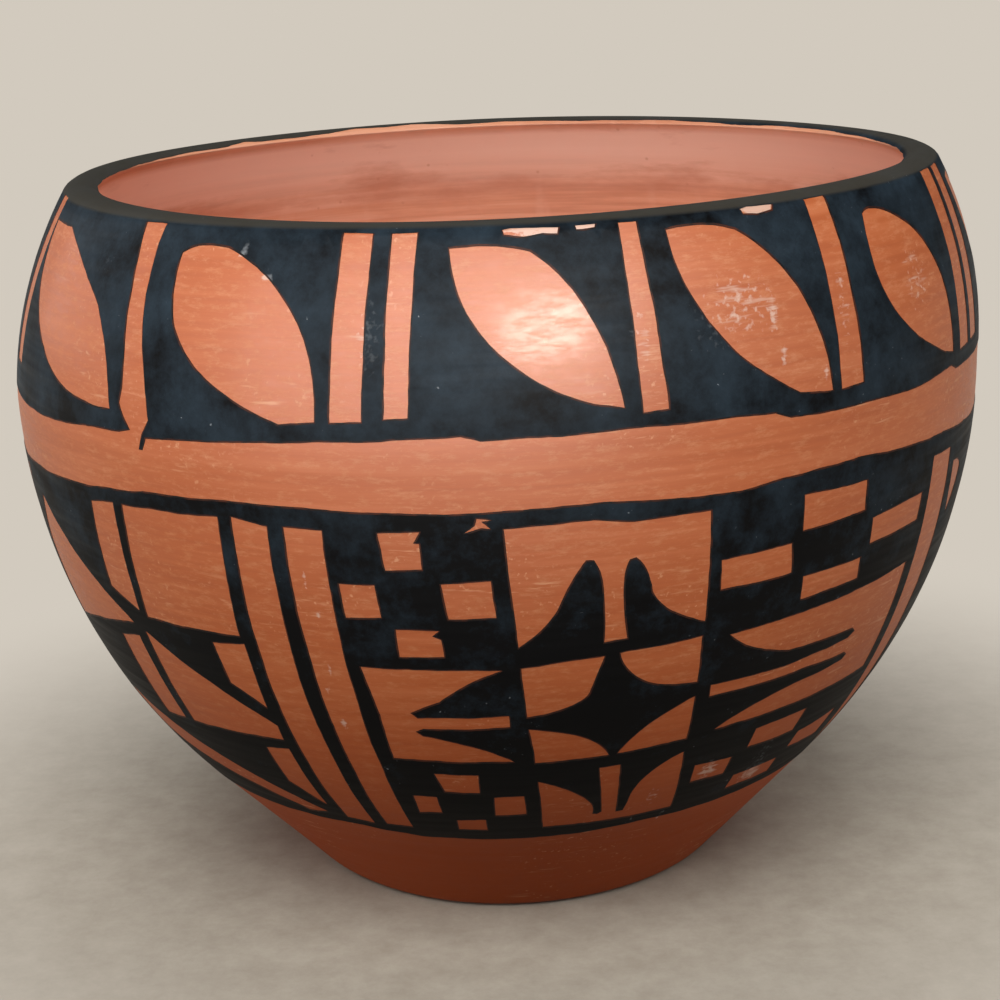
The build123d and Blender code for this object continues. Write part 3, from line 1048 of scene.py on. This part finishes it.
@dataclass
class PaintFilm:
    """Film of paint on the wall, drawn flat, cut out and wrapped on, with edges that thin out.

    Its outline and windows are given by azimuth in degrees and by run along the wall in millimetres.
    """

    name: str
    wall: WallForm
    low_edge: Sequence[Spot]
    high_edge: Sequence[Spot]
    windows: Sequence[Sequence[Stroke]]
    seam: float
    brush: Brush = Brush()
    overlap: float = 4.0
    lift: float = 0.12
    edge_lift: float = 0.02
    edge_width: float = 0.3
    sunk: float = 0.06
    grid_turn: float = 2.5
    grid_height: float = 3.0
    lip_row: float = 0.7
    window_margin: float = 0.5
    thin_share: float = 0.9
    weld: float = 0.01
    lip_reach: float = 1.0
    fades: bool = True
    piece: bpy.types.Object | None = None

    def border(self, edge: Sequence[Spot]) -> list[Spot]:
        """Edge that goes all round, from the seam on, with its overlap.

        Args:
            edge: Corners of the edge over one turn.

        Returns:
            Azimuth and height of points along it.
        """
        first = self.seam - self.overlap
        last = self.seam + FULL_TURN + self.overlap
        corners = [(azimuth + turn * FULL_TURN, height) for turn in (-1, 0, 1, 2) for azimuth, height in edge]
        path: list[Spot] = []
        for start, end in zip(corners, corners[1:]):
            middle = ((start[0] + end[0]) / 2, (start[1] + end[1]) / 2)
            path += self.brush.bowed(start, middle, end)
        return [spot for spot in path if first <= spot[0] <= last]

    def outlines(self) -> list[list[Spot]]:
        """Hand-drawn outlines, with the same unsteadiness in each run.

        Returns:
            Outline of the film, then of every window that lies between its ends.
        """
        first = self.seam - self.overlap
        last = self.seam + FULL_TURN + self.overlap
        noise.seed_set(self.brush.seed)
        edge = self.border(self.low_edge) + self.border(self.high_edge)[::-1]
        drawn = [self.brush.strayed(edge)]
        for strokes in self.windows:
            for turn in (-FULL_TURN, 0.0, FULL_TURN):
                copy = moved(strokes, lambda azimuth: azimuth + turn)
                ends = [stroke[-1][0] if isinstance(stroke[0], tuple) else stroke[0] for stroke in copy]
                if min(ends) > first + self.window_margin and max(ends) < last - self.window_margin:
                    drawn.append(self.brush.drawn(copy))
        return drawn

    def flat_sheet(self) -> bpy.types.Object:
        """Fills the film between its outlines.

        Returns:
            Flat mesh of the film, in millimetres.
        """
        spots: list[Vector] = []
        loops: list[list[int]] = []
        for outline in self.outlines():
            area = sum(a[0] * b[1] - b[0] * a[1] for a, b in zip(outline, [*outline[1:], outline[0]]))
            loops.append(list(range(len(spots), len(spots) + len(outline))))
            spots += [Vector(spot) for spot in (outline if area > 0 else outline[::-1])]
        points, _, faces, _, _, owners = delaunay_2d_cdt(spots, [], loops, INSIDE_OUTLINES, SAME_SPOT)
        film = [face for face, owner in zip(faces, owners) if list(owner) == [0]]
        data = bpy.data.meshes.new(self.name)
        data.from_pydata([(*point, 0.0) for point in points], [], film)
        sheet = bpy.data.objects.new(self.name, data)
        bpy.context.scene.collection.objects.link(sheet)
        pick(sheet)
        return sheet

    @staticmethod
    def cut(spot: Row, across: Row, trims: bool = False) -> None:
        """Cuts the flat film along the line through a spot, in edit mode, and may trim what lies past it."""
        bpy.ops.mesh.select_all(action="SELECT")
        bpy.ops.mesh.bisect(plane_co=spot, plane_no=across, clear_outer=trims)

    def cut_grid(self) -> None:
        """Thins the film's border, cuts the flat film so that it can bend, and trims its ends."""
        bpy.ops.object.mode_set(mode="EDIT")
        bpy.ops.mesh.select_all(action="SELECT")
        bpy.ops.mesh.delete_loose()
        bpy.ops.mesh.select_all(action="SELECT")
        bpy.ops.mesh.beautify_fill(angle_limit=pi)
        bpy.ops.mesh.inset(thickness=self.edge_width, depth=self.lift - self.edge_lift, use_even_offset=False)
        heights = [spot[1] for spot in (*self.low_edge, *self.high_edge)]
        lip = self.wall.lip_height
        on_wall = np.arange(min(heights), min(max(heights), lip), self.grid_height)
        on_lip = np.arange(lip, max(heights), self.lip_row)
        for height in (*on_wall.tolist(), *on_lip.tolist()):
            self.cut((0, height, 0), (0, 1, 0))
        degree = self.brush.degree
        last = self.seam + FULL_TURN
        for azimuth in np.arange(self.seam + self.grid_turn, last, self.grid_turn).tolist():
            self.cut((azimuth * degree, 0, 0), (1, 0, 0))
        for azimuth, end in ((self.seam, -1), (last, 1)):
            self.cut((azimuth * degree, 0, 0), (end, 0, 0), trims=True)
        bpy.ops.object.mode_set(mode="OBJECT")

    def wrap(self) -> None:
        """Wraps the flat film on the wall, closes its seam and gives it its thickness and shading."""
        sheet = self.piece
        for polygon in sheet.data.polygons:
            lowest = min(sheet.data.vertices[index].co.z for index in polygon.vertices)
            thin = self.fades and lowest < (self.lift - self.edge_lift) * self.thin_share
            polygon.material_index = Coat.THIN_EDGE.value if thin else Coat.FULL.value
        flat = coordinates(sheet)
        azimuth = flat[:, 0] / self.brush.degree
        run = flat[:, 1]
        radius, height, tilt = self.wall.trace(run)
        raised = flat[:, 2] + self.edge_lift
        radius = radius + raised * np.cos(tilt)
        height = height + raised * np.sin(tilt)
        move_to(sheet, self.wall.placed(np.radians(azimuth), radius, height))
        write_wear(sheet, wear_at((azimuth + FULL_TURN / 2) % FULL_TURN - FULL_TURN / 2, height))
        pick(sheet)
        bpy.ops.object.mode_set(mode="EDIT")
        bpy.ops.mesh.select_all(action="SELECT")
        bpy.ops.mesh.remove_doubles(threshold=self.weld * MM)
        bpy.ops.object.mode_set(mode="OBJECT")
        shell = sheet.modifiers.new("thickness", "SOLIDIFY")
        shell.thickness = (self.edge_lift + self.sunk) * MM
        shell.offset = -1
        outer_count = len(sheet.data.vertices)
        bpy.ops.object.modifier_apply(modifier=shell.name)
        shaded(sheet, self.wall_normals(coordinates(sheet), outer_count))

    def wall_normals(self, points: Numbers, outer_count: int) -> Numbers:
        """Normals of the wall under the film's vertices.

        Args:
            points: Places of the vertices, in metres.
            outer_count: Number of vertices on the outer face, which come first.

        Returns:
            Unit normals, turned round on the film's hidden underside.
        """
        right, back, height = (points / MM).T
        right = right - self.wall.lean(height)
        azimuth = np.arctan2(right, -back)
        radius = np.hypot(right, back)
        centre, middle, _, spread = self.wall.lip
        crown = np.arctan2(height - middle, radius - centre)
        on_lip = np.abs(crown - pi / 2) < spread
        on_lip &= height > self.wall.lip_height - self.lip_reach
        tilt = np.where(on_lip, crown, self.wall.tilt(height))
        normal = self.wall.normals(azimuth, radius, height, tilt)
        normal[outer_count:] *= -1
        return normal

    def build(self) -> None:
        """Draws, cuts and wraps the film."""
        self.piece = self.flat_sheet()
        self.cut_grid()
        self.wrap()

    def dress(self, paint: bpy.types.Material, thin: bpy.types.Material) -> None:
        """Gives the film its paint and its place in the frame.

        Args:
            paint: Full coat of paint.
            thin: Paint at the edge of a stroke.
        """
        self.piece.data.materials.append(paint)
        self.piece.data.materials.append(thin)
        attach(self.piece, BODY)
        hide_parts(self.name.removeprefix("paint_") + "_paint")
        log.info("%s: %d faces", self.piece.name, len(self.piece.data.polygons))


@dataclass
class Frieze:
    """Black frieze round the shoulder: leaf windows, with one upright bar or a pair between neighbours."""

    wall: WallForm
    top: float = 139.6
    hidden_leaves: tuple[float, ...] = (83.3, 114.6, 145.9, 177.3, 208.6, 239.9, 271.2)
    single_bars: tuple[float, ...] = (98.9, 130.3, 192.9, 224.2, 286.9)
    double_bars: tuple[float, ...] = (161.6, 255.5)
    bar: float = 3.3
    bar_step: float = 5.6
    bar_low: float = 110.0
    lip_overlap: float = 1.2
    seam: float = 192.9

    def front_leaves(self) -> list[list[Stroke]]:
        """Leaves that face the front, as they were painted."""
        return [
            [(-71, 135.4), (-63.4, 135.6), ((-56.2, 131), (-49.8, 125.2)), ((-46.8, 118.3), (-44.9, 109)),
             (-48, 108.9), ((-55.8, 111.2), (-61.4, 115.5)), ((-68, 124.6), (-71, 135.4))],
            [(-37.8, 134.9), ((-35.2, 136.2), (-31.6, 136.1)), ((-22, 126.8), (-18.6, 110.5)),
             (-22.4, 109.9), ((-31.3, 116.2), (-36.6, 124.6)), ((-37.6, 129.7), (-37.8, 134.9))],
            [(-6, 136.4), ((-1.6, 136.6), (2.6, 135.6)), ((8.5, 126), (12, 111.1)), (9, 112),
             ((-1.2, 121.8), (-6, 136.4))],
            [(17.6, 137.2), ((21.6, 137.3), (25.6, 136)), ((32.5, 125.5), (36, 109)), (31.6, 109.6),
             ((21.7, 122), (17.6, 137.2))],
            [(44.6, 135.3), ((46, 135.8), (48, 135.2)), ((56.6, 126.4), (59.5, 108.5)), (57, 109.3),
             ((46.3, 120), (44.6, 135.3))],
        ]

    def hidden_leaf(self, azimuth: float) -> list[Stroke]:
        """Leaf at an azimuth of the hidden side, alike the others."""
        leaf = [(-9.5, 135.8), ((-5.7, 136.4), (-2.2, 135.6)), ((4.7, 126.3), (9.5, 110)), (6, 110),
                ((-5.4, 121), (-9.5, 135.8))]
        return moved(leaf, lambda place: azimuth + place)

    def front_bars(self) -> list[list[Stroke]]:
        """Bars that face the front and stay inside the frieze."""
        return [
            [(-17.8, self.top), (-14.5, self.top), (-13.8, 110.6), (-17, 110.4)],
            [(-12.3, self.top), (-9.6, self.top), (-9.2, 111.2), (-11.6, 111)],
            [(12.2, self.top), (14.2, self.top), (16.5, 110.3), (13.9, 110)],
            [(36, self.top), (39.1, self.top), (40.4, 109), (37.3, 108.8)],
            [(62.3, self.top), (66, self.top), (65.3, 108.3), (62, 108)],
            [(67.5, self.top), (71, self.top), (70.2, 108.5), (66.8, 108.3)],
        ]

    def hidden_bars(self) -> list[list[Stroke]]:
        """Bars of the hidden side, midway between leaves."""
        pairs = [middle + side * self.bar_step / 2 for middle in self.double_bars for side in (-1, 1)]
        return [box(middle - self.bar / 2, middle + self.bar / 2, self.bar_low, self.top)
                for middle in (*self.single_bars, *pairs)]

    def low_edge(self) -> list[Spot]:
        """Lower edge of the frieze, with the one bar that runs out into the red stripe, and a drip."""
        return [(-72, 103.8), (-60, 103.6), (-50, 104.8), (-43.2, 105.3), (-41.4, 106), (-42.7, 108.8),
                (-43.2, 110.4), (-42.9, 113), (-43.3, 118), (-44.8, 134), (-45.6, self.top),
                (-42, self.top), (-42.2, 136), (-41.8, 128), (-40.5, 119), (-39.3, 112.5), (-38.6, 108.2),
                (-39.6, 105.8), (-40, 103), (-39.4, 103), (-38.9, 105.1), (-30, 106), (-20, 107), (-4, 108),
                (-2, 107.2), (15, 107.6), (28.5, 107), (30.5, 105.6), (50, 105), (59, 106), (60.5, 105),
                (72, 105), (120, 106.2), (165, 105.2), (210, 106.4), (250, 105.4)]

    def film(self) -> PaintFilm:
        """Film of the frieze.

        Returns:
            The film, with its upper edge chipped below the lip.
        """
        windows = self.front_leaves() + self.front_bars() + self.hidden_bars()
        windows += [self.hidden_leaf(azimuth) for azimuth in self.hidden_leaves]
        top = self.top + self.lip_overlap
        chips = [(-0.8, top), (-0.2, 138.3), (2, 137.9), (4, 138.3), (5.6, 138.1), (6, top), (7.2, top),
                 (7.7, 138.3), (9.6, 138.4), (10, top), (26.5, top), (27.2, 138.3), (29, 138), (31, 138.3),
                 (31.7, top)]
        return PaintFilm("paint_shoulder", self.wall, self.low_edge(), chips, windows, self.seam)


@dataclass
class Band:
    """Black band round the belly: diagonals, then a star between pairs of bars, three times over."""

    wall: WallForm
    star_edges: tuple[float, ...] = (-17.0, 0.5, 22.5, 54.5)
    diagonal_edges: tuple[float, float] = (-69.4, -28.5)
    hidden_diagonals: tuple[float, float] = (-66.8, -28.5)
    hidden_stars: tuple[float, ...] = (121.0, 232.0)
    star_side: float = 11.3
    star_centre: float = 21.5
    bars_to_star: float = 11.3
    star_to_bars: float = 1.5
    bar_step: float = 6.0
    seam: float = 169.6

    def diagonals(self) -> list[list[Stroke]]:
        """Strips and wedges of the panel at the front left."""
        return [
            [(-50, 91.2), (-45.6, 92), (-46, 71), (-50.6, 74.4)],
            [(-43.9, 92.2), (-30, 93.2), (-30.3, 70.8), (-44.6, 70.2)],
            [(-34.5, 68.3), (-30, 69.2), (-29.9, 55.8), (-34, 60)],
            [(-46.3, 66.6), (-29.5, 51.8), (-29.6, 48.6), (-45.8, 47.3)],
            [(-52.7, 63.7), (-48.3, 65), (-47.7, 47.2), (-52.5, 46.3)],
            [(-66, 86.6), ((-57.5, 77.2), (-48.3, 67.8)), ((-58, 64.9), (-69.4, 60.8)), (-69.4, 76)],
            [(-33.1, 45.6), (-29.5, 46.4), (-29, 31.6), (-33.3, 37)],
            [(-66, 46.8), (-62, 46.3), ((-46, 38.6), (-30, 29.3)), (-34, 28.6), ((-48, 34), (-66, 38.5))],
        ]

    def front_bars(self) -> list[list[Stroke]]:
        """Bars on either side of the front star."""
        return [
            [(-28.3, 93.4), (-24.2, 92.5), ((-23.8, 62), (-22.3, 28.2)), (-26.8, 28.6),
             ((-28, 62), (-28.3, 93.4))],
            [(-22.3, 92.5), (-18.2, 92.4), ((-17.5, 62), (-15.9, 28.1)), (-20, 28.3),
             ((-21.6, 62), (-22.3, 92.5))],
            [(55.5, 90.4), (60.6, 90.1), ((61.6, 62), (62.6, 29)), (58, 29), ((56.2, 62), (55.5, 90.4))],
            [(62.7, 86.8), ((65.2, 86), (66.4, 84.4)), ((65.6, 80.5), (63.9, 76)),
             ((63.1, 81.5), (62.7, 86.8))],
        ]

    def front_checks(self) -> list[list[Stroke]]:
        """Checks in the four corners of the front star."""
        return [
            [(-12, 85.5), (-8.2, 85.8), (-8.3, 90.2), (-8.9, 90.4), (-8.2, 92.3), (-12.4, 92.2)],
            [(-16.7, 76.6), (-13, 76.9), (-13.3, 82.8), (-17, 83)],
            [(-5.9, 76.7), (-1.2, 76.7), (-1.4, 83.5), (-6.4, 83.2)],
            [(-11.5, 69.4), (-6.8, 69.6), (-7, 72.9), (-7.9, 73.6), (-7.1, 74.6), (-11.6, 74.7)],
            [(-3.8, 92.2), (-2.2, 93), (-1.3, 92.8), (-2.2, 94.1), (-1.2, 94.3), (-2.6, 94.6),
             (-2.8, 93.4)],
            [(32.9, 85.3), (41.9, 85.8), (41.8, 91.4), (32.6, 91.7)],
            [(22.9, 77.5), (31.8, 77.9), (31.5, 83.3), (22.7, 83)],
            [(43.8, 78.8), (53.5, 79.3), (53.5, 84.5), (43.6, 83.6)],
            [(34, 71.8), (42.9, 72.6), (42.6, 76.7), (33.7, 76.4)],
            [(-9, 39.1), (-4.5, 38.7), (-4.5, 43.3), (-10, 43.6)],
            [(-13.6, 33), (-10.3, 33.3), (-10.4, 37.5), (-13.7, 37.7)],
            [(-2.7, 32.5), (1.7, 32.7), (1.4, 37.6), (-2.7, 37.4)],
            [(-8.5, 28.1), (-4.2, 28.1), (-4.2, 31.2), (-8.4, 31)],
            [(33.6, 40.3), (42.5, 40.3), (42.6, 45.2), (33.6, 44.8)],
            [(25.8, 35), (31.5, 34.8), (31.4, 39), (25.3, 39.4)],
            [(44.6, 35), (53, 34.4), (53.5, 39.8), (44.6, 38.8)],
            [(34.6, 29.4), (44.3, 29.2), (43.6, 32.8), (34.3, 33)],
        ]

    def front_prongs(self) -> list[list[Stroke]]:
        """Windows round the four pairs of prongs of the front star: above, left, right and below it."""
        return [
            [(0, 92.6), (9, 93), (13, 92.2), (21.2, 92.2), (21.4, 72), ((17.4, 75.3), (15.2, 79.4)),
             ((14.5, 82.9), (13.2, 85.8)), (12.5, 85.6), ((11.9, 80.3), (12.6, 71)), (10.1, 70.8),
             ((10, 78.4), (9.5, 84)), (8.9, 86.1), (8.1, 86.2), ((6.8, 83.2), (5.6, 78.8)),
             ((4, 75), (1, 71))],
            [(-16, 67.1), (-4.4, 66.6), (-0.8, 66.6), ((-4.7, 63.7), (-8, 60.2)), (-11.4, 57.9),
             (-10.6, 56.7), (-0.2, 57), (-0.1, 54.6), (-10.2, 54.3), (-11.2, 53.7), (-10.4, 52.6),
             ((-5, 50.4), (0.1, 46.4)), (-14.7, 47.3), (-15, 57)],
            [(53.6, 70.8), (54.4, 48.9), (26, 47.8), ((31.5, 51.5), (38, 53.5)), (45.7, 54.5), (46.3, 55.4),
             (45.6, 56.2), ((36, 56.3), (23.8, 55.8)), (23.6, 58.2), ((35, 58.5), (45, 59.5)), (46, 60.4),
             (45.2, 61.4), ((39.5, 61.5), (34, 62)), ((28.8, 64.2), (25, 68.2))],
            [(4.2, 28.2), (24.6, 28.6), (22.5, 43.8), ((17.9, 39.4), (16.4, 33)), (16.1, 30.6), (15, 30.5),
             ((14.3, 37), (13.8, 43.4)), (11, 43.3), ((11.8, 37.6), (12.8, 31.2)), (12.2, 30.6),
             (11.4, 30.9), ((9.6, 35.8), (3.3, 41.1))],
        ]

    def front_star(self) -> list[list[Stroke]]:
        """Corner windows that leave the black star."""
        return [
            [(1.2, 66.9), (10.3, 67.9), ((9.6, 64.6), (8.9, 61.4)), ((6.9, 58.5), (1.9, 56.7))],
            [(12, 68.2), (21.4, 69.1), (21.6, 59.6), ((14.9, 62), (12, 68.2))],
            [(2.1, 53.8), ((8.3, 51.1), (12, 46.3)), (2.8, 46)],
            [(21.8, 56.5), (22.2, 47.1), (13.1, 46.4), ((16.7, 52.4), (21.8, 56.5))],
        ]

    def low_edge(self) -> list[Spot]:
        """Lower edge of the band."""
        return [(-60, 26.3), (-40, 26.5), (-25, 26.6), (-15, 25), (0, 24.8), (10, 25), (20, 26), (45, 26.2),
                (80, 25.4), (140, 26.3), (200, 25.2), (260, 26.2)]

    def high_edge(self) -> list[Spot]:
        """Upper edge of the band."""
        return [(-72, 92.4), (-60, 93), (-50, 94), (-40, 95.6), (-30, 96.3), (-20, 96.2), (-10, 95.6),
                (0, 95.6), (10, 96), (20, 95), (25, 94.8), (30, 95.7), (40, 96), (50, 95), (60, 94),
                (70, 93), (100, 95.4), (150, 96), (200, 95), (250, 95.8)]

    def front(self) -> list[list[Stroke]]:
        """Windows of the front star and of its four sides and corners."""
        return self.front_checks() + self.front_prongs() + self.front_star()

    def hidden_bar(self, azimuth: float) -> list[Stroke]:
        """Bar beside a star of the hidden side."""
        bar = [(0, 90.6), (4.1, 90.4), ((4.5, 62), (6, 28.6)), (1.5, 28.8), ((0.3, 62), (0, 90.6))]
        return moved(bar, lambda place: azimuth + place)

    def hidden_panels(self) -> list[list[Stroke]]:
        """Panels of the hidden side, narrower than those of the front.

        Returns:
            Windows of each star, of the bars on either side of it and of the diagonals before it.
        """
        panels = []
        side, centre = self.star_side, self.star_centre
        for start in self.hidden_stars:
            edges = [start + width for width in (0.0, side, side + centre, 2 * side + centre)]
            left = start - self.star_edges[0]

            def in_star(azimuth: float) -> float:
                """Azimuth in this star for one in the front star."""
                return float(np.interp(azimuth, self.star_edges, edges))

            def in_diagonals(azimuth: float) -> float:
                """Azimuth in these diagonals for one in the front ones."""
                return left + float(np.interp(azimuth, self.diagonal_edges, self.hidden_diagonals))

            panels += [moved(strokes, in_star) for strokes in self.front()]
            for bar in (start - self.bars_to_star, edges[-1] + self.star_to_bars):
                panels += [self.hidden_bar(bar), self.hidden_bar(bar + self.bar_step)]
            panels += [moved(strokes, in_diagonals) for strokes in self.diagonals()]
        return panels

    def film(self) -> PaintFilm:
        """Film of the band."""
        windows = self.diagonals() + self.front_bars() + self.front() + self.hidden_panels()
        return PaintFilm("paint_band", self.wall, self.low_edge(), self.high_edge(), windows, self.seam)


@dataclass
class LipPaint:
    """Black paint over the lip, chipped along its edges."""

    wall: WallForm
    outer_gap: float = 0.3
    lift: float = 0.2
    edge_lift: float = 0.15
    seam: float = 180.0

    def film(self) -> PaintFilm:
        """Film of the lip.

        Returns:
            The film, with its outer edge chipped and its inner edge ragged.
        """
        outer = self.wall.lip_height + self.outer_gap
        inner = self.wall.lip_height + self.wall.lip_run
        chips = [(-0.5, 0.0), (0.5, 0.3), (4, 0.2), (6, 0.0), (26.5, 0.0), (28, 0.4), (31, 0.2),
                 (32.5, 0.0)]
        ragged = [(0, -0.6), (40, 0.0), (52, 1.2), (56, -1.0), (60, 2.0), (66, 0.5), (95, -0.4),
                  (112, -0.9), (126, -1.3), (138, -0.8), (150, -1.5), (164, -1.1), (176, -1.5), (186, -1.2),
                  (191, -2.0), (194, -2.6), (199, -2.1), (204, -2.5), (209, -1.2), (222, -1.0), (225, -1.8),
                  (229, -0.9), (242, -0.8), (256, -0.3), (300, 0.2)]
        return PaintFilm("paint_rim", self.wall, [(azimuth, outer + chip) for azimuth, chip in chips],
                         [(azimuth, inner + stray) for azimuth, stray in ragged], (), self.seam,
                         lift=self.lift, edge_lift=self.edge_lift, fades=False)


@dataclass(frozen=True)
class Lamp:
    """Soft rectangular lamp that faces the jar.

    Its direction is in degrees, from the front rightwards and above the level, its reach and size in metres.
    """

    name: str
    azimuth: float
    height: float
    reach: float
    size: Spot
    watts: float
    use: LampUse = LampUse.LIGHT
    tint: str = "FFFFFF"

    def hang(self, aim: Vector) -> None:
        """Hangs the lamp, to light the jar or to be only mirrored in its sheen.

        Args:
            aim: Place that it faces.
        """
        data = bpy.data.lights.new(self.name, "AREA")
        data.shape = "RECTANGLE"
        data.size, data.size_y = self.size
        data.energy = self.watts
        data.color = linear(self.tint)[:3]
        lamp = bpy.data.objects.new(self.name, data)
        bpy.context.scene.collection.objects.link(lamp)
        azimuth, height = radians(self.azimuth), radians(self.height)
        back = Vector((sin(azimuth) * cos(height), -cos(azimuth) * cos(height), sin(height)))
        lamp.location = aim + back * self.reach
        lamp.rotation_euler = back.to_track_quat("Z", "Y").to_euler()
        lamp.visible_diffuse = self.use is LampUse.LIGHT
        lamp.visible_glossy = self.use is LampUse.SHEEN


@dataclass
class Studio:
    """Pale floor, soft lamps and the camera at the photograph's place."""

    floor_size: float = 60.0
    lamps: tuple[Lamp, ...] = (
        Lamp("soft_key", -5, 48, 1.3, (1.0, 0.8), 17.6),
        Lamp("left_fill", -75, 8, 1.4, (0.8, 0.8), 6.0),
        Lamp("right_fill", 72, 10, 1.4, (0.8, 0.8), 5.0),
        Lamp("window_sheen", 11, 24, 1.2, (0.34, 0.3), 18.0, LampUse.SHEEN, "FFF7EC"),
        Lamp("room_sheen", -16, 20, 1.5, (2.8, 1.5), 80.0, LampUse.SHEEN),
        Lamp("left_sheen", -112, 22, 1.5, (1.2, 1.2), 7.5, LampUse.SHEEN),
        Lamp("back_fill", 170, 30, 1.4, (0.8, 0.8), 6.0),
    )
    aim: tuple[float, float, float] = (0.0, 0.0, 0.09)
    room_tint: str = "DCE6F0"
    room_strength: float = 0.1
    nearest: float = 0.01
    lens: float = 75.98
    eye: tuple[float, float, float] = (0.0, -419.7, 189.3)
    target: tuple[float, float, float] = (-0.45, 0.0, 70.74)
    roll: float = -2.51

    def floor(self) -> None:
        """Lays the floor under the jar."""
        deselect()
        bpy.ops.mesh.primitive_plane_add(size=self.floor_size, location=(0, 0, 0))
        floor = bpy.context.object
        floor.name = "floor"
        floor.data.materials.append(PaleFloor().material())

    def light(self) -> None:
        """Sets the lamps and the even light of the room."""
        for lamp in self.lamps:
            lamp.hang(Vector(self.aim))
        world = bpy.data.worlds.new("room")
        world.use_nodes = True
        wire(world.node_tree.nodes["Background"],
             {"Color": linear(self.room_tint), "Strength": self.room_strength})
        bpy.context.scene.world = world

    def camera(self) -> None:
        """Sets the camera at the photograph's viewing angle."""
        data = bpy.data.cameras.new("camera")
        data.lens = self.lens
        data.clip_start = self.nearest
        camera = bpy.data.objects.new("camera", data)
        bpy.context.scene.collection.objects.link(camera)
        eye = Vector(self.eye) * MM
        ahead = (Vector(self.target) * MM - eye).normalized()
        right = ahead.cross(Vector((0, 0, 1))).normalized()
        up = right.cross(ahead)
        turn = radians(self.roll)
        rolled_right = right * cos(turn) + up * sin(turn)
        rolled_up = up * cos(turn) - right * sin(turn)
        turned = Matrix((rolled_right, rolled_up, -ahead)).transposed().to_4x4()
        camera.matrix_world = Matrix.Translation(eye) @ turned
        bpy.context.scene.camera = camera


def main() -> None:
    """Builds the jar, dresses it and sets the studio."""
    logging.basicConfig(level=logging.INFO, format="%(message)s")
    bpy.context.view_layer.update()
    bpy.context.scene.view_settings.view_transform = "Standard"
    wall = WallForm()
    vessel = ClayVessel(wall)
    vessel.build()
    vessel.dress(BurnishedSlip().material(), SmoothedClay().material())
    paint = BlackPaint().material()
    thin = ThinPaint().material()
    for ornament in (Frieze(wall), Band(wall), LipPaint(wall)):
        film = ornament.film()
        film.build()
        film.dress(paint, thin)
    studio = Studio()
    studio.floor()
    studio.light()
    studio.camera()
    deselect()


if __name__ == "__main__":
    main()
